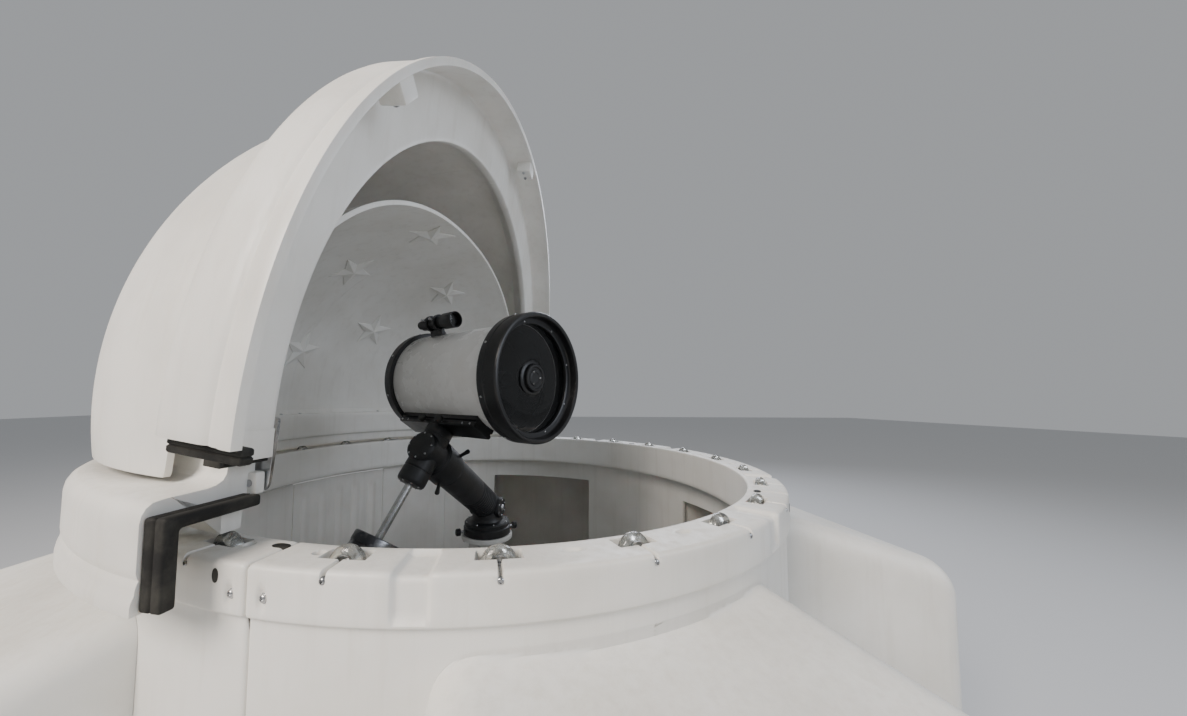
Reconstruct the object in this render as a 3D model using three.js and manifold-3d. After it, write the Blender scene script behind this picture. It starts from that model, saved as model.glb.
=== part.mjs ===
// A small clamshell observatory of moulded plastic panels: a five-section round wall with bays, a ring of
// wheels on its top, a dome of two fixed rear shells and a hinged two-panel visor, and the telescope inside.
// Millimetres, +Z up. The origin is on the ground at the centre of the round wall, and +X runs through the
// middle of the bay on the right. The visor stands open and the dome is turned as in the photograph.
import * as THREE from 'three';
import { mergeVertices } from 'three/addons/utils/BufferGeometryUtils.js';
import Module from 'manifold-3d';

const wasm = await Module();
wasm.setup();

// Fit and roundness
const GAP = 0.3;
const LATHE_STEPS = 60;
const TAU = 2 * Math.PI;

// Round wall and the ring beam on it
const SECTIONS = 5;
const SECTION_TURN = TAU / SECTIONS;
const RING_TOP = 1220;
const RING_OUTER = 1220;
const RING_INNER = 1100;
const BEAM_HEIGHT = 176;
const BAND_HEIGHT = 92;
const WALL_OUTER = 1210;
const WALL_INNER = 1195;
const WALL_HEAD = RING_TOP - BEAM_HEIGHT;

// Wheels that carry the dome
const WHEELS_PER_SECTION = 5;
const WHEEL_TURN = SECTION_TURN / WHEELS_PER_SECTION;
const TRACK_RADIUS = 1145;
const WHEEL_RADIUS = 37;
const WHEEL_WIDTH = 30;
const WHEEL_RISE = 20;
const AXLE_RADIUS = 6;
const AXLE_Z = RING_TOP + WHEEL_RISE - WHEEL_RADIUS;
const SLOT_LENGTH = 2 * WHEEL_RADIUS + 12;
const SLOT_WIDTH = WHEEL_WIDTH + 10;
const SLOT_FLOOR = AXLE_Z - WHEEL_RADIUS - 5;

// Lifting channels and joint holes in the ring top
const CHANNEL_ANGLE = THREE.MathUtils.degToRad(21.6);
const CHANNEL_WIDTH = 60;
const CHANNEL_DEPTH = 10;
const CHANNEL_DROP = 82;
const JOINT_HOLE_ANGLE = THREE.MathUtils.degToRad(4.2);
const JOINT_HOLE_RADIUS = 11;
const JOINT_HOLE_DEPTH = 25;

// Bays that bulge out of four sections
const BAY_SECTIONS = [0, 1, 3, 4];
const BAY_NAMES = ['right_bay', 'far_bay', 'left_bay', 'front_bay'];
const BAY_MOUTH_HALF = 370;
const BAY_MOUTH_HEAD = 1000;
const BAY_ROOT = 1125;
const BAY_REACH = 1790;
const BAY_ROOT_HALF = 414;
const BAY_END_HALF = 580;
const BAY_ROOT_HEIGHT = 1085;
const BAY_END_HEIGHT = 895;
const BAY_CORNER = 80;
const BAY_WALL = 12;

// Door section, opposite the front and right bays
const DOOR_SECTION = 2;
const DOOR_HALF_ANGLE = THREE.MathUtils.degToRad(14.4);
const DOOR_HEAD = 1020;
const DOOR_SILL = 12;
const DOOR_CLEARANCE = 5;
const HINGE_RADIUS = WALL_OUTER + 14;
const HINGE_PIN = 6;
const HINGE_HEIGHTS = [230, 800];
const KNUCKLE_HEIGHT = 46;

// Dome profile, heights above the ring top
const SKIRT_OUTER = 1306;
const SKIRT_INNER = 1292;
const SKIRT_BOTTOM = -67;
const BEAD_OUTER = 1312;
const RIM_INNER = 1097;
const LEDGE_UNDER = 67;
const TRACK_UNDER = WHEEL_RISE + GAP;
const TRACK_HALF = 22;
const REAR_SHOULDER = 116;
const REAR_RIM_TOP = 200;
const VISOR_SHOULDER = 113;
const VISOR_RIM_TOP = 111;
const SHELL_WALL = 14;
const SHELL_SPRING = 175;
const SHELL_POWER = 2.2;
const REAR_RADIUS = 1156;
const REAR_CROWN = 1102;
const VISOR_RADIUS = 1185;
const VISOR_CROWN = 1155;
const SHELL_STEPS = 8;

// How the dome and the visor stand, and the visor's hinge in the dome's own frame
const DOME_TURN = THREE.MathUtils.degToRad(-16);
const VISOR_OPEN = THREE.MathUtils.degToRad(83);
const PIVOT_X = -174;
const PIVOT_Z = RING_TOP + 111;
const PIVOT_PIN = 8;
const REAR_CUT = -178;
const VISOR_CUT = -50;
const TONGUE_CUT = -112;
const TONGUE_SIDE = 1200;
const VISOR_HEEL_Z = 245;
const VISOR_HEEL_X = -171;
const VISOR_TOP_X = -265;
const REAR_TOP_X = -95;
const REAR_SEAL = 45;
const VISOR_SEAL = 28;
const STRAP_INNER = 1064;
const STRAP_OUTER = 1074;
const STRAP_HALF = 24;
const STRAP_END = -30;

// Telescope and its mount
const PIER_RADIUS = 84;
const PIER_TOP = 880;
const TUBE_CENTRE = new THREE.Vector3(-69, -300, RING_TOP + 370);
const TUBE_HEADING = THREE.MathUtils.degToRad(-44);
const TUBE_OFFSET = 330;
const DEC_RISE = THREE.MathUtils.degToRad(55);
const TURRET_END = 95;
const TURRET_TAIL = 130;
const SADDLE_WIDTH = 96;
const SADDLE_LENGTH = 450;
const SADDLE_LIP = 9;
const TUBE_RADIUS = 200;
const TUBE_WALL = 6;
const TUBE_FRONT = 295;
const TUBE_REAR = -235;
const CELL_RADIUS = 230;
const FINDER_RADIUS = 25;
const FINDER_OFFSET = TUBE_RADIUS + 52;
const FINDER_START = -215;

// Materials, as moulded white plastic and its fittings
const finish = (colour, roughness, metalness = 0) =>
  new THREE.MeshStandardMaterial({ color: colour, roughness, metalness });
const WHITE_PLASTIC = () => finish(0xe9e7e1, 0.5);
const CLEAR_WHEEL = () => finish(0xd9dde0, 0.15);
const BLACK_RUBBER = () => finish(0x151515, 0.85);
const STEEL = () => finish(0xb4b6b8, 0.35, 1);
const BLACK_PAINT = () => finish(0x111214, 0.45, 0.2);
const WHITE_PAINT = () => finish(0xe4e4e2, 0.35, 0.1);

// Solids from three.js geometry, with shared vertices merged and flat triangles dropped
function solid(geometry) {
  geometry.deleteAttribute('normal');
  geometry.deleteAttribute('uv');
  const merged = mergeVertices(geometry, 1e-3);
  const index = merged.index.array;
  const triangles = [];
  for (let i = 0; i < index.length; i += 3) {
    const [a, b, c] = [index[i], index[i + 1], index[i + 2]];
    if (a !== b && b !== c && c !== a) triangles.push(a, b, c);
  }
  const vertProperties = new Float32Array(merged.attributes.position.array);
  const triVerts = new Uint32Array(triangles);
  return new wasm.Manifold(new wasm.Mesh({ numProp: 3, vertProperties, triVerts }));
}

function geometryOf(body) {
  const { vertProperties, triVerts } = body.getMesh();
  const geometry = new THREE.BufferGeometry();
  geometry.setAttribute('position', new THREE.BufferAttribute(new Float32Array(vertProperties), 3));
  geometry.setIndex(new THREE.BufferAttribute(new Uint32Array(triVerts), 1));
  return geometry;
}

const join = (...bodies) => bodies.reduce((all, body) => all.add(body));
const cut = (body, ...tools) => tools.reduce((all, tool) => all.subtract(tool), body);

// A profile of [radius, height] points turned about the Z axis. A profile that leaves the axis closes on itself.
function turned(points, steps = LATHE_STEPS) {
  const closed = points[0][0] === 0 ? points : [...points, points[0]];
  const profile = closed.map(([r, z]) => new THREE.Vector2(r, z));
  const geometry = new THREE.LatheGeometry(profile, steps);
  geometry.rotateX(Math.PI / 2);
  const body = solid(geometry);
  return body.volume() < 0 ? solid(flipped(geometry)) : body;
}

function flipped(geometry) {
  const index = geometry.index.array;
  for (let i = 0; i < index.length; i += 3) [index[i], index[i + 1]] = [index[i + 1], index[i]];
  return geometry;
}

// A box between two corners, turned about the Z axis afterwards
function block(low, high, turn = 0) {
  const size = high.map((value, i) => value - low[i]);
  const geometry = new THREE.BoxGeometry(...size);
  geometry.translate(...low.map((value, i) => value + size[i] / 2));
  geometry.rotateZ(turn);
  return solid(geometry);
}

// An outline of [x, z] points carried along Y, and one of [y, z] points carried along X
function prismAlongY(outline, y0, y1) {
  const shape = new THREE.Shape(outline.map(([x, z]) => new THREE.Vector2(x, z)));
  const geometry = new THREE.ExtrudeGeometry(shape, { depth: y1 - y0, bevelEnabled: false });
  geometry.rotateX(Math.PI / 2);
  geometry.translate(0, y1, 0);
  return solid(geometry);
}

function prismAlongX(outline, x0, x1) {
  const shape = new THREE.Shape(outline.map(([y, z]) => new THREE.Vector2(y, z)));
  const geometry = new THREE.ExtrudeGeometry(shape, { depth: x1 - x0, bevelEnabled: false });
  geometry.rotateX(Math.PI / 2);
  geometry.rotateZ(Math.PI / 2);
  geometry.translate(x0, 0, 0);
  return solid(geometry);
}

// A straight round bar from a point, along a direction, between two distances
function bar(from, direction, start, end, radius, sides = 16, endRadius = radius) {
  const geometry = new THREE.CylinderGeometry(endRadius, radius, end - start, sides);
  geometry.translate(0, (start + end) / 2, 0);
  const turn = new THREE.Quaternion().setFromUnitVectors(new THREE.Vector3(0, 1, 0), direction);
  geometry.applyQuaternion(turn);
  geometry.translate(from.x, from.y, from.z);
  return solid(geometry);
}

// A wedge of the round plan between two angles, its sides set back by half the gap
function wedge(a0, a1, low, high) {
  const middle = (a0 + a1) / 2;
  const half = (a1 - a0) / 2;
  const apex = GAP / 2 / Math.sin(half);
  const reach = 2600;
  const outline = [[apex, 0]];
  for (let i = 0; i <= 2; i += 1) {
    const angle = -half + half * i;
    outline.push([apex + reach * Math.cos(angle), reach * Math.sin(angle)]);
  }
  const shape = new THREE.Shape(outline.map(([x, y]) => new THREE.Vector2(x, y)));
  const geometry = new THREE.ExtrudeGeometry(shape, { depth: high - low, bevelEnabled: false });
  geometry.translate(0, 0, low);
  geometry.rotateZ(middle);
  return solid(geometry);
}

function addPart(group, name, body, material) {
  const mesh = new THREE.Mesh(geometryOf(body), material);
  mesh.name = name;
  group.add(mesh);
  return mesh;
}

// The round wall with its ring beam, as one full turn
function fullWall() {
  const edge = 8;
  const band = RING_TOP - BAND_HEIGHT;
  return turned([
    [WALL_INNER, 0],
    [WALL_OUTER, 0],
    [WALL_OUTER, band - 6],
    [RING_OUTER, band],
    [RING_OUTER, RING_TOP - edge],
    [RING_OUTER - edge, RING_TOP],
    [RING_INNER + edge, RING_TOP],
    [RING_INNER, RING_TOP - edge],
    [RING_INNER, WALL_HEAD + edge],
    [RING_INNER + edge, WALL_HEAD],
    [WALL_INNER, WALL_HEAD],
  ]);
}

// What is cut out of the ring top and what crosses it, for one wheel at a given angle
function wheelSlot(angle) {
  const half = SLOT_WIDTH / 2;
  const slot = block(
    [TRACK_RADIUS - half, -SLOT_LENGTH / 2, SLOT_FLOOR],
    [TRACK_RADIUS + half, SLOT_LENGTH / 2, RING_TOP + 10],
    angle,
  );
  const groove = block(
    [TRACK_RADIUS + half - 5, -AXLE_RADIUS - 1, AXLE_Z - 2],
    [RING_OUTER + 10, AXLE_RADIUS + 1, RING_TOP + 10],
    angle,
  );
  return join(slot, groove);
}

function wheelAxle(angle) {
  const centre = new THREE.Vector3(0, 0, AXLE_Z);
  const outward = new THREE.Vector3(Math.cos(angle), Math.sin(angle), 0);
  return bar(centre, outward, RING_INNER + 12, RING_OUTER + 4, AXLE_RADIUS, 8);
}

function liftingChannel(angle) {
  const half = CHANNEL_WIDTH / 2;
  const inner = RING_INNER + 14;
  const top = [RING_OUTER + 10, half, RING_TOP + 10];
  return join(
    block([inner, -half, RING_TOP - CHANNEL_DEPTH], top, angle),
    block([RING_OUTER - CHANNEL_DEPTH, -half, RING_TOP - CHANNEL_DROP], top, angle),
  );
}

function jointHole(angle) {
  const x = TRACK_RADIUS * Math.cos(angle);
  const y = TRACK_RADIUS * Math.sin(angle);
  const up = new THREE.Vector3(0, 0, 1);
  const from = new THREE.Vector3(x, y, RING_TOP);
  return bar(from, up, -JOINT_HOLE_DEPTH, 10, JOINT_HOLE_RADIUS, 10);
}

// One section of the wall about +X, with its slots, channels and joint holes
function wallSection() {
  const half = SECTION_TURN / 2;
  let body = fullWall().intersect(wedge(-half, half, -10, RING_TOP + 50));
  const axles = [];
  for (let k = -2; k <= 2; k += 1) {
    body = cut(body, wheelSlot(k * WHEEL_TURN));
    axles.push(wheelAxle(k * WHEEL_TURN));
  }
  body = join(body, ...axles);
  for (const side of [-1, 1]) {
    body = cut(body, liftingChannel(side * CHANNEL_ANGLE));
    body = cut(body, jointHole(side * (half - JOINT_HOLE_ANGLE)));
  }
  return body;
}

// Four sections open into their bays, and the fifth is split round the doorway
function addWall(group) {
  const section = wallSection();
  const mouth = block([RING_INNER - 60, -BAY_MOUTH_HALF, -10], [RING_OUTER + 60, BAY_MOUTH_HALF, BAY_MOUTH_HEAD]);
  const open = cut(section, mouth);
  const names = ['right_wall', 'far_wall', 'left_wall', 'front_wall'];
  BAY_SECTIONS.forEach((place, i) => {
    addPart(group, names[i], open, WHITE_PLASTIC()).rotation.z = place * SECTION_TURN;
  });
  const turn = DOOR_SECTION * SECTION_TURN;
  const half = SECTION_TURN / 2;
  const over = block([0, -2000, DOOR_HEAD], [2000, 2000, RING_TOP + 50]);
  const under = block([0, -2000, -10], [2000, 2000, DOOR_HEAD - GAP]);
  const latchSide = wedge(-half, -DOOR_HALF_ANGLE, -20, RING_TOP);
  const hingeSide = wedge(DOOR_HALF_ANGLE, half, -20, RING_TOP);
  const jamb = join(section.intersect(under).intersect(hingeSide), ...hingePins());
  addPart(group, 'door_head_ring', section.intersect(over), WHITE_PLASTIC()).rotation.z = turn;
  addPart(group, 'door_latch_wall', section.intersect(under).intersect(latchSide), WHITE_PLASTIC()).rotation.z = turn;
  addPart(group, 'door_hinge_wall', jamb, WHITE_PLASTIC()).rotation.z = turn;
}

// The door's hinge axis stands just outside the wall at the doorway's edge
const HINGE_AXIS = new THREE.Vector3(
  HINGE_RADIUS * Math.cos(DOOR_HALF_ANGLE),
  HINGE_RADIUS * Math.sin(DOOR_HALF_ANGLE),
  0,
);

function hingePins() {
  const up = new THREE.Vector3(0, 0, 1);
  const pins = [];
  for (const z of HINGE_HEIGHTS) {
    pins.push(bar(HINGE_AXIS, up, z - 12, z + KNUCKLE_HEIGHT + 4, HINGE_PIN, 12));
    pins.push(bar(HINGE_AXIS, up, z - 14, z - 1, HINGE_PIN * 2, 12));
    pins.push(block([WALL_OUTER - 6, -4, z - 14], [HINGE_RADIUS + 4, 34, z - 1], DOOR_HALF_ANGLE));
  }
  return pins;
}

// The curved door leaf with its knuckles, and its lever handle
function addDoor(group) {
  const turn = DOOR_SECTION * SECTION_TURN;
  const edge = DOOR_HALF_ANGLE - DOOR_CLEARANCE / WALL_INNER;
  const shell = turned([
    [WALL_INNER, DOOR_SILL],
    [WALL_OUTER, DOOR_SILL],
    [WALL_OUTER, DOOR_HEAD - DOOR_CLEARANCE],
    [WALL_INNER, DOOR_HEAD - DOOR_CLEARANCE],
  ]);
  let leaf = shell.intersect(wedge(-edge, edge, -10, RING_TOP));
  const up = new THREE.Vector3(0, 0, 1);
  for (const z of HINGE_HEIGHTS) {
    const top = z + KNUCKLE_HEIGHT;
    const tongue = block([WALL_OUTER - 4, -44, z], [HINGE_RADIUS + 4, -4, top], DOOR_HALF_ANGLE);
    leaf = join(leaf, tongue, bar(HINGE_AXIS, up, z, top, HINGE_PIN * 2, 12));
    leaf = cut(leaf, bar(HINGE_AXIS, up, z - 1, top + 1, HINGE_PIN + 0.5, 12));
  }
  addPart(group, 'door_leaf', leaf, WHITE_PLASTIC()).rotation.z = turn;
  const handleAngle = 0.055 - edge;
  const outward = new THREE.Vector3(Math.cos(handleAngle), Math.sin(handleAngle), 0);
  const stem = bar(new THREE.Vector3(0, 0, 560), outward, WALL_OUTER + GAP, WALL_OUTER + 50, 14);
  const lever = block([WALL_OUTER + 36, -12, 546], [WALL_OUTER + 52, 130, 574], handleAngle);
  addPart(group, 'door_handle', join(stem, lever), STEEL()).rotation.z = turn;
}

// One wheel, turned about the radial axle that runs through it
function addWheels(group) {
  const half = WHEEL_WIDTH / 2;
  const bore = AXLE_RADIUS + 0.5;
  const profile = [
    [bore, -half],
    [WHEEL_RADIUS - 9, -half],
    [WHEEL_RADIUS, -5],
    [WHEEL_RADIUS, 5],
    [WHEEL_RADIUS - 9, half],
    [bore, half],
  ];
  const body = turned(profile, 16);
  for (let i = 0; i < SECTIONS * WHEELS_PER_SECTION; i += 1) {
    const angle = (i - 2) * WHEEL_TURN;
    const number = String(i + 1).padStart(2, '0');
    const wheel = addPart(group, `ring_wheel_${number}`, body, CLEAR_WHEEL());
    wheel.position.set(TRACK_RADIUS * Math.cos(angle), TRACK_RADIUS * Math.sin(angle), AXLE_Z);
    wheel.rotation.set(0, Math.PI / 2, 0);
    wheel.rotation.order = 'ZYX';
    wheel.rotation.z = angle;
  }
}

// A bay as a loft along +X: its cross-section is a box with rounded upper edges
function bayLoft(inset) {
  const r = Math.max(BAY_CORNER - inset, 8);
  const arc = 4;
  const stations = [
    [BAY_ROOT, 0],
    [BAY_REACH - 90, 0],
    [BAY_REACH - 40, 12],
    [BAY_REACH - 10, 40],
    [BAY_REACH, 80],
  ].map(([x, shrink]) => [x - (x > BAY_ROOT ? inset : 0), shrink]);
  const positions = [];
  const perRing = 2 * (arc + 1) + 2;
  for (const [x, shrink] of stations) {
    const t = (x - BAY_ROOT) / (BAY_REACH - BAY_ROOT);
    const half = BAY_ROOT_HALF + (BAY_END_HALF - BAY_ROOT_HALF) * t - inset - shrink;
    const height = BAY_ROOT_HEIGHT + (BAY_END_HEIGHT - BAY_ROOT_HEIGHT) * t - inset - shrink;
    const low = inset > 0 ? -10 : 0;
    positions.push([x, half, low]);
    for (let i = 0; i <= arc; i += 1) {
      const a = (Math.PI / 2) * (i / arc);
      positions.push([x, half - r + r * Math.cos(a), height - r + r * Math.sin(a)]);
    }
    for (let i = arc; i >= 0; i -= 1) {
      const a = (Math.PI / 2) * (i / arc);
      positions.push([x, -(half - r + r * Math.cos(a)), height - r + r * Math.sin(a)]);
    }
    positions.push([x, -half, low]);
  }
  const index = [];
  for (let s = 0; s < stations.length - 1; s += 1) {
    for (let i = 0; i < perRing; i += 1) {
      const a = s * perRing + i;
      const b = s * perRing + ((i + 1) % perRing);
      index.push(a, b, a + perRing, b, b + perRing, a + perRing);
    }
  }
  const last = (stations.length - 1) * perRing;
  for (let i = 1; i < perRing - 1; i += 1) {
    index.push(0, i + 1, i);
    index.push(last, last + i, last + i + 1);
  }
  const geometry = new THREE.BufferGeometry();
  geometry.setAttribute('position', new THREE.Float32BufferAttribute(positions.flat(), 3));
  geometry.setIndex(index);
  return geometry;
}

// The bays are the same hollow moulding, cut to the round of the wall and turned to its section
function addBays(group) {
  const wallCylinder = turned([[0, -20], [WALL_OUTER + GAP, -20], [WALL_OUTER + GAP, 2000], [0, 2000]]);
  const bay = cut(solid(bayLoft(0)), solid(bayLoft(BAY_WALL)), wallCylinder);
  BAY_SECTIONS.forEach((section, i) => {
    addPart(group, BAY_NAMES[i], bay, WHITE_PLASTIC()).rotation.z = section * SECTION_TURN;
  });
}

// Points of a flattened dome curve, from its spring line to the crown
function shellCurve(radius, height) {
  const points = [];
  for (let i = 0; i <= SHELL_STEPS; i += 1) {
    const a = (Math.PI / 2) * (i / SHELL_STEPS);
    const r = i === SHELL_STEPS ? 0 : radius * Math.cos(a) ** (2 / SHELL_POWER);
    const z = SHELL_SPRING + height * Math.sin(a) ** (2 / SHELL_POWER);
    points.push([r, RING_TOP + z]);
  }
  return points;
}

// The whole dome turned from one profile: skirt, ledge over the wheels, inner rim and shell
function domeBody(radius, crown, shoulder, rimTop) {
  const up = (r, z) => [r, RING_TOP + z];
  const inner = radius - SHELL_WALL;
  const height = crown - SHELL_SPRING;
  return turned([
    ...shellCurve(inner, height - SHELL_WALL).reverse(),
    ...[up(inner, rimTop + 26), up(inner - 16, rimTop + 2), up(RIM_INNER + 11, rimTop)],
    ...[up(RIM_INNER, rimTop - 10), up(RIM_INNER, LEDGE_UNDER + 10), up(RIM_INNER + 9, LEDGE_UNDER)],
    ...[up(SKIRT_INNER - 8, LEDGE_UNDER), up(SKIRT_INNER, LEDGE_UNDER - 8), up(SKIRT_INNER, SKIRT_BOTTOM)],
    ...[up(BEAD_OUTER, SKIRT_BOTTOM), up(BEAD_OUTER, SKIRT_BOTTOM + 22)],
    ...[up(SKIRT_OUTER - 5, SKIRT_BOTTOM + 46), up(SKIRT_OUTER, SKIRT_BOTTOM + 68)],
    ...[up(SKIRT_OUTER, shoulder - 30), up(SKIRT_OUTER - 9, shoulder - 9), up(SKIRT_OUTER - 30, shoulder)],
    ...[up(radius + 22, shoulder + 4), up(radius + 6, shoulder + 16)],
    ...shellCurve(radius, height),
  ]);
}

function halves(body) {
  const reach = 2500;
  const left = block([-reach, GAP / 2, 0], [reach, reach, 2 * reach]);
  const right = block([-reach, -reach, 0], [reach, -GAP / 2, 2 * reach]);
  return [body.intersect(left), body.intersect(right)];
}

// The two fixed rear shells, with the hinge pins in their lugs and the outside knobs on them
function addRearShells(group) {
  const z = (value) => RING_TOP + value;
  const region = prismAlongY(
    [
      [REAR_CUT, z(-300)],
      [REAR_CUT, z(REAR_RIM_TOP)],
      [REAR_TOP_X, z(1330)],
      [-2000, z(1400)],
      [-2000, z(-300)],
    ],
    -2000,
    2000,
  );
  const track = turned([
    [TRACK_RADIUS - TRACK_HALF, z(TRACK_UNDER)],
    [TRACK_RADIUS + TRACK_HALF, z(TRACK_UNDER)],
    [TRACK_RADIUS + TRACK_HALF, z(LEDGE_UNDER + 2)],
    [TRACK_RADIUS - TRACK_HALF, z(LEDGE_UNDER + 2)],
  ]);
  const rear = join(domeBody(REAR_RADIUS, REAR_CROWN, REAR_SHOULDER, REAR_RIM_TOP), track);
  const shells = halves(rear.intersect(region));
  ['left', 'right'].forEach((side, i) => {
    const sign = i === 0 ? 1 : -1;
    const along = new THREE.Vector3(0, sign, 0);
    const pivot = new THREE.Vector3(PIVOT_X, 0, PIVOT_Z);
    const knob = new THREE.Vector3(PIVOT_X - 56, 0, z(185));
    const ends = sign > 0 ? [STRAP_OUTER + 1, 1100] : [-1100, -STRAP_OUTER - 1];
    const body = join(
      shells[i],
      block([PIVOT_X - 50, ends[0], PIVOT_Z - 24], [PIVOT_X + 18, ends[1], PIVOT_Z + 24]),
      bar(pivot, along, STRAP_INNER - 6, 1100, PIVOT_PIN, 12),
      bar(pivot, along, STRAP_INNER - 14, STRAP_INNER - 5, 2 * PIVOT_PIN, 12),
      bar(knob, along, REAR_RADIUS - 30, REAR_RADIUS + 14, 11, 12),
    );
    addPart(group, `rear_shell_${side}`, body, WHITE_PLASTIC());
  });
}

// The visor's two sides in the closed position, each a domed panel standing on its band. The band ends
// in a tongue on the rim's side of the ledge and has a pocket block inside the skirt
function addVisor(group) {
  const z = (value) => RING_TOP + value;
  const region = prismAlongY(
    [
      [VISOR_CUT, z(-300)],
      [2000, z(-300)],
      [2000, z(1400)],
      [VISOR_TOP_X, z(1400)],
      [VISOR_HEEL_X, z(VISOR_HEEL_Z)],
      [VISOR_CUT, z(VISOR_HEEL_Z)],
    ],
    -2000,
    2000,
  );
  const whole = domeBody(VISOR_RADIUS, VISOR_CROWN, VISOR_SHOULDER, VISOR_RIM_TOP);
  const tongueTop = z(VISOR_SHOULDER + 17);
  const tongueBox = block([TONGUE_CUT, -TONGUE_SIDE, z(0)], [VISOR_CUT + 1, TONGUE_SIDE, tongueTop]);
  const sides = halves(join(whole.intersect(region), whole.intersect(tongueBox)));
  const above = block([-2000, -2000, z(VISOR_SHOULDER + 18)], [2000, 2000, z(1400)]);
  const below = block([-2000, -2000, z(-300)], [2000, 2000, z(VISOR_SHOULDER + 18) - GAP]);
  const pocket = (degrees) => {
    const angle = THREE.MathUtils.degToRad(degrees);
    return block([1240, -38, z(-59)], [1296, 38, z(15)], angle);
  };
  addPart(group, 'visor_panel_left', sides[0].intersect(above), WHITE_PLASTIC());
  addPart(group, 'visor_panel_right', sides[1].intersect(above), WHITE_PLASTIC());
  addPart(group, 'visor_band_left', join(sides[0].intersect(below), pocket(7)), WHITE_PLASTIC());
  addPart(group, 'visor_band_right', join(sides[1].intersect(below), pocket(-51)), WHITE_PLASTIC());
}

// The straps that carry the visor on the hinge pins, inside the rim
function addStraps(group) {
  const z = (value) => RING_TOP + value;
  const within = turned([[0, z(0)], [RIM_INNER - GAP, z(0)], [RIM_INNER - GAP, z(300)], [0, z(300)]]);
  const hinge = new THREE.Vector3(PIVOT_X, 0, PIVOT_Z);
  ['left', 'right'].forEach((side, i) => {
    const sign = i === 0 ? 1 : -1;
    const along = new THREE.Vector3(0, sign, 0);
    const span = (a, b) => (sign > 0 ? [a, b] : [-b, -a]);
    const [y0, y1] = span(STRAP_INNER, STRAP_OUTER);
    const [b0, b1] = span(STRAP_OUTER - 1, 1100);
    const plate = block([PIVOT_X, y0, PIVOT_Z - STRAP_HALF], [STRAP_END, y1, PIVOT_Z + STRAP_HALF]);
    const pad = block([TONGUE_CUT + 12, b0, PIVOT_Z - STRAP_HALF], [STRAP_END, b1, z(104)]);
    const eye = bar(hinge, along, STRAP_INNER, STRAP_OUTER, STRAP_HALF, 20);
    const hole = bar(hinge, along, STRAP_INNER - 2, STRAP_OUTER + 2, PIVOT_PIN + 0.5, 12);
    addPart(group, `hinge_strap_${side}`, cut(join(plate, pad, eye).intersect(within), hole), STEEL());
  });
}

// Rubber seals on the cut ends: down the skirt and in along the ledge
function addSeals(group, name, face, depth, shoulder, inside) {
  const z = (value) => RING_TOP + value;
  const top = shoulder - 14;
  ['left', 'right'].forEach((side, i) => {
    const sign = i === 0 ? 1 : -1;
    const outline = [
      [1290, z(SKIRT_BOTTOM + 2)],
      [1290, z(top - 16)],
      [1274, z(top)],
      [inside, z(top)],
      [inside, z(LEDGE_UNDER + 2)],
      [1264, z(LEDGE_UNDER + 2)],
      [1264, z(SKIRT_BOTTOM + 2)],
    ].map(([y, height]) => [sign * y, height]);
    if (sign < 0) outline.reverse();
    addPart(group, `${name}_${side}`, prismAlongX(outline, face + GAP, face + GAP + depth), BLACK_RUBBER());
  });
}

function addDome(root) {
  const dome = new THREE.Group();
  dome.rotation.z = DOME_TURN;
  root.add(dome);
  addRearShells(dome);
  addSeals(dome, 'rear_seal', REAR_CUT, REAR_SEAL, REAR_SHOULDER, 1104);
  const swing = new THREE.Group();
  swing.position.set(PIVOT_X, 0, PIVOT_Z);
  swing.rotation.y = -VISOR_OPEN;
  dome.add(swing);
  const visor = new THREE.Group();
  visor.position.set(-PIVOT_X, 0, -PIVOT_Z);
  swing.add(visor);
  addVisor(visor);
  addStraps(visor);
  const visorEnd = VISOR_CUT - VISOR_SEAL - 2 * GAP;
  addSeals(visor, 'visor_seal', visorEnd, VISOR_SEAL, VISOR_SHOULDER, TONGUE_SIDE + 2);
}

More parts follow.
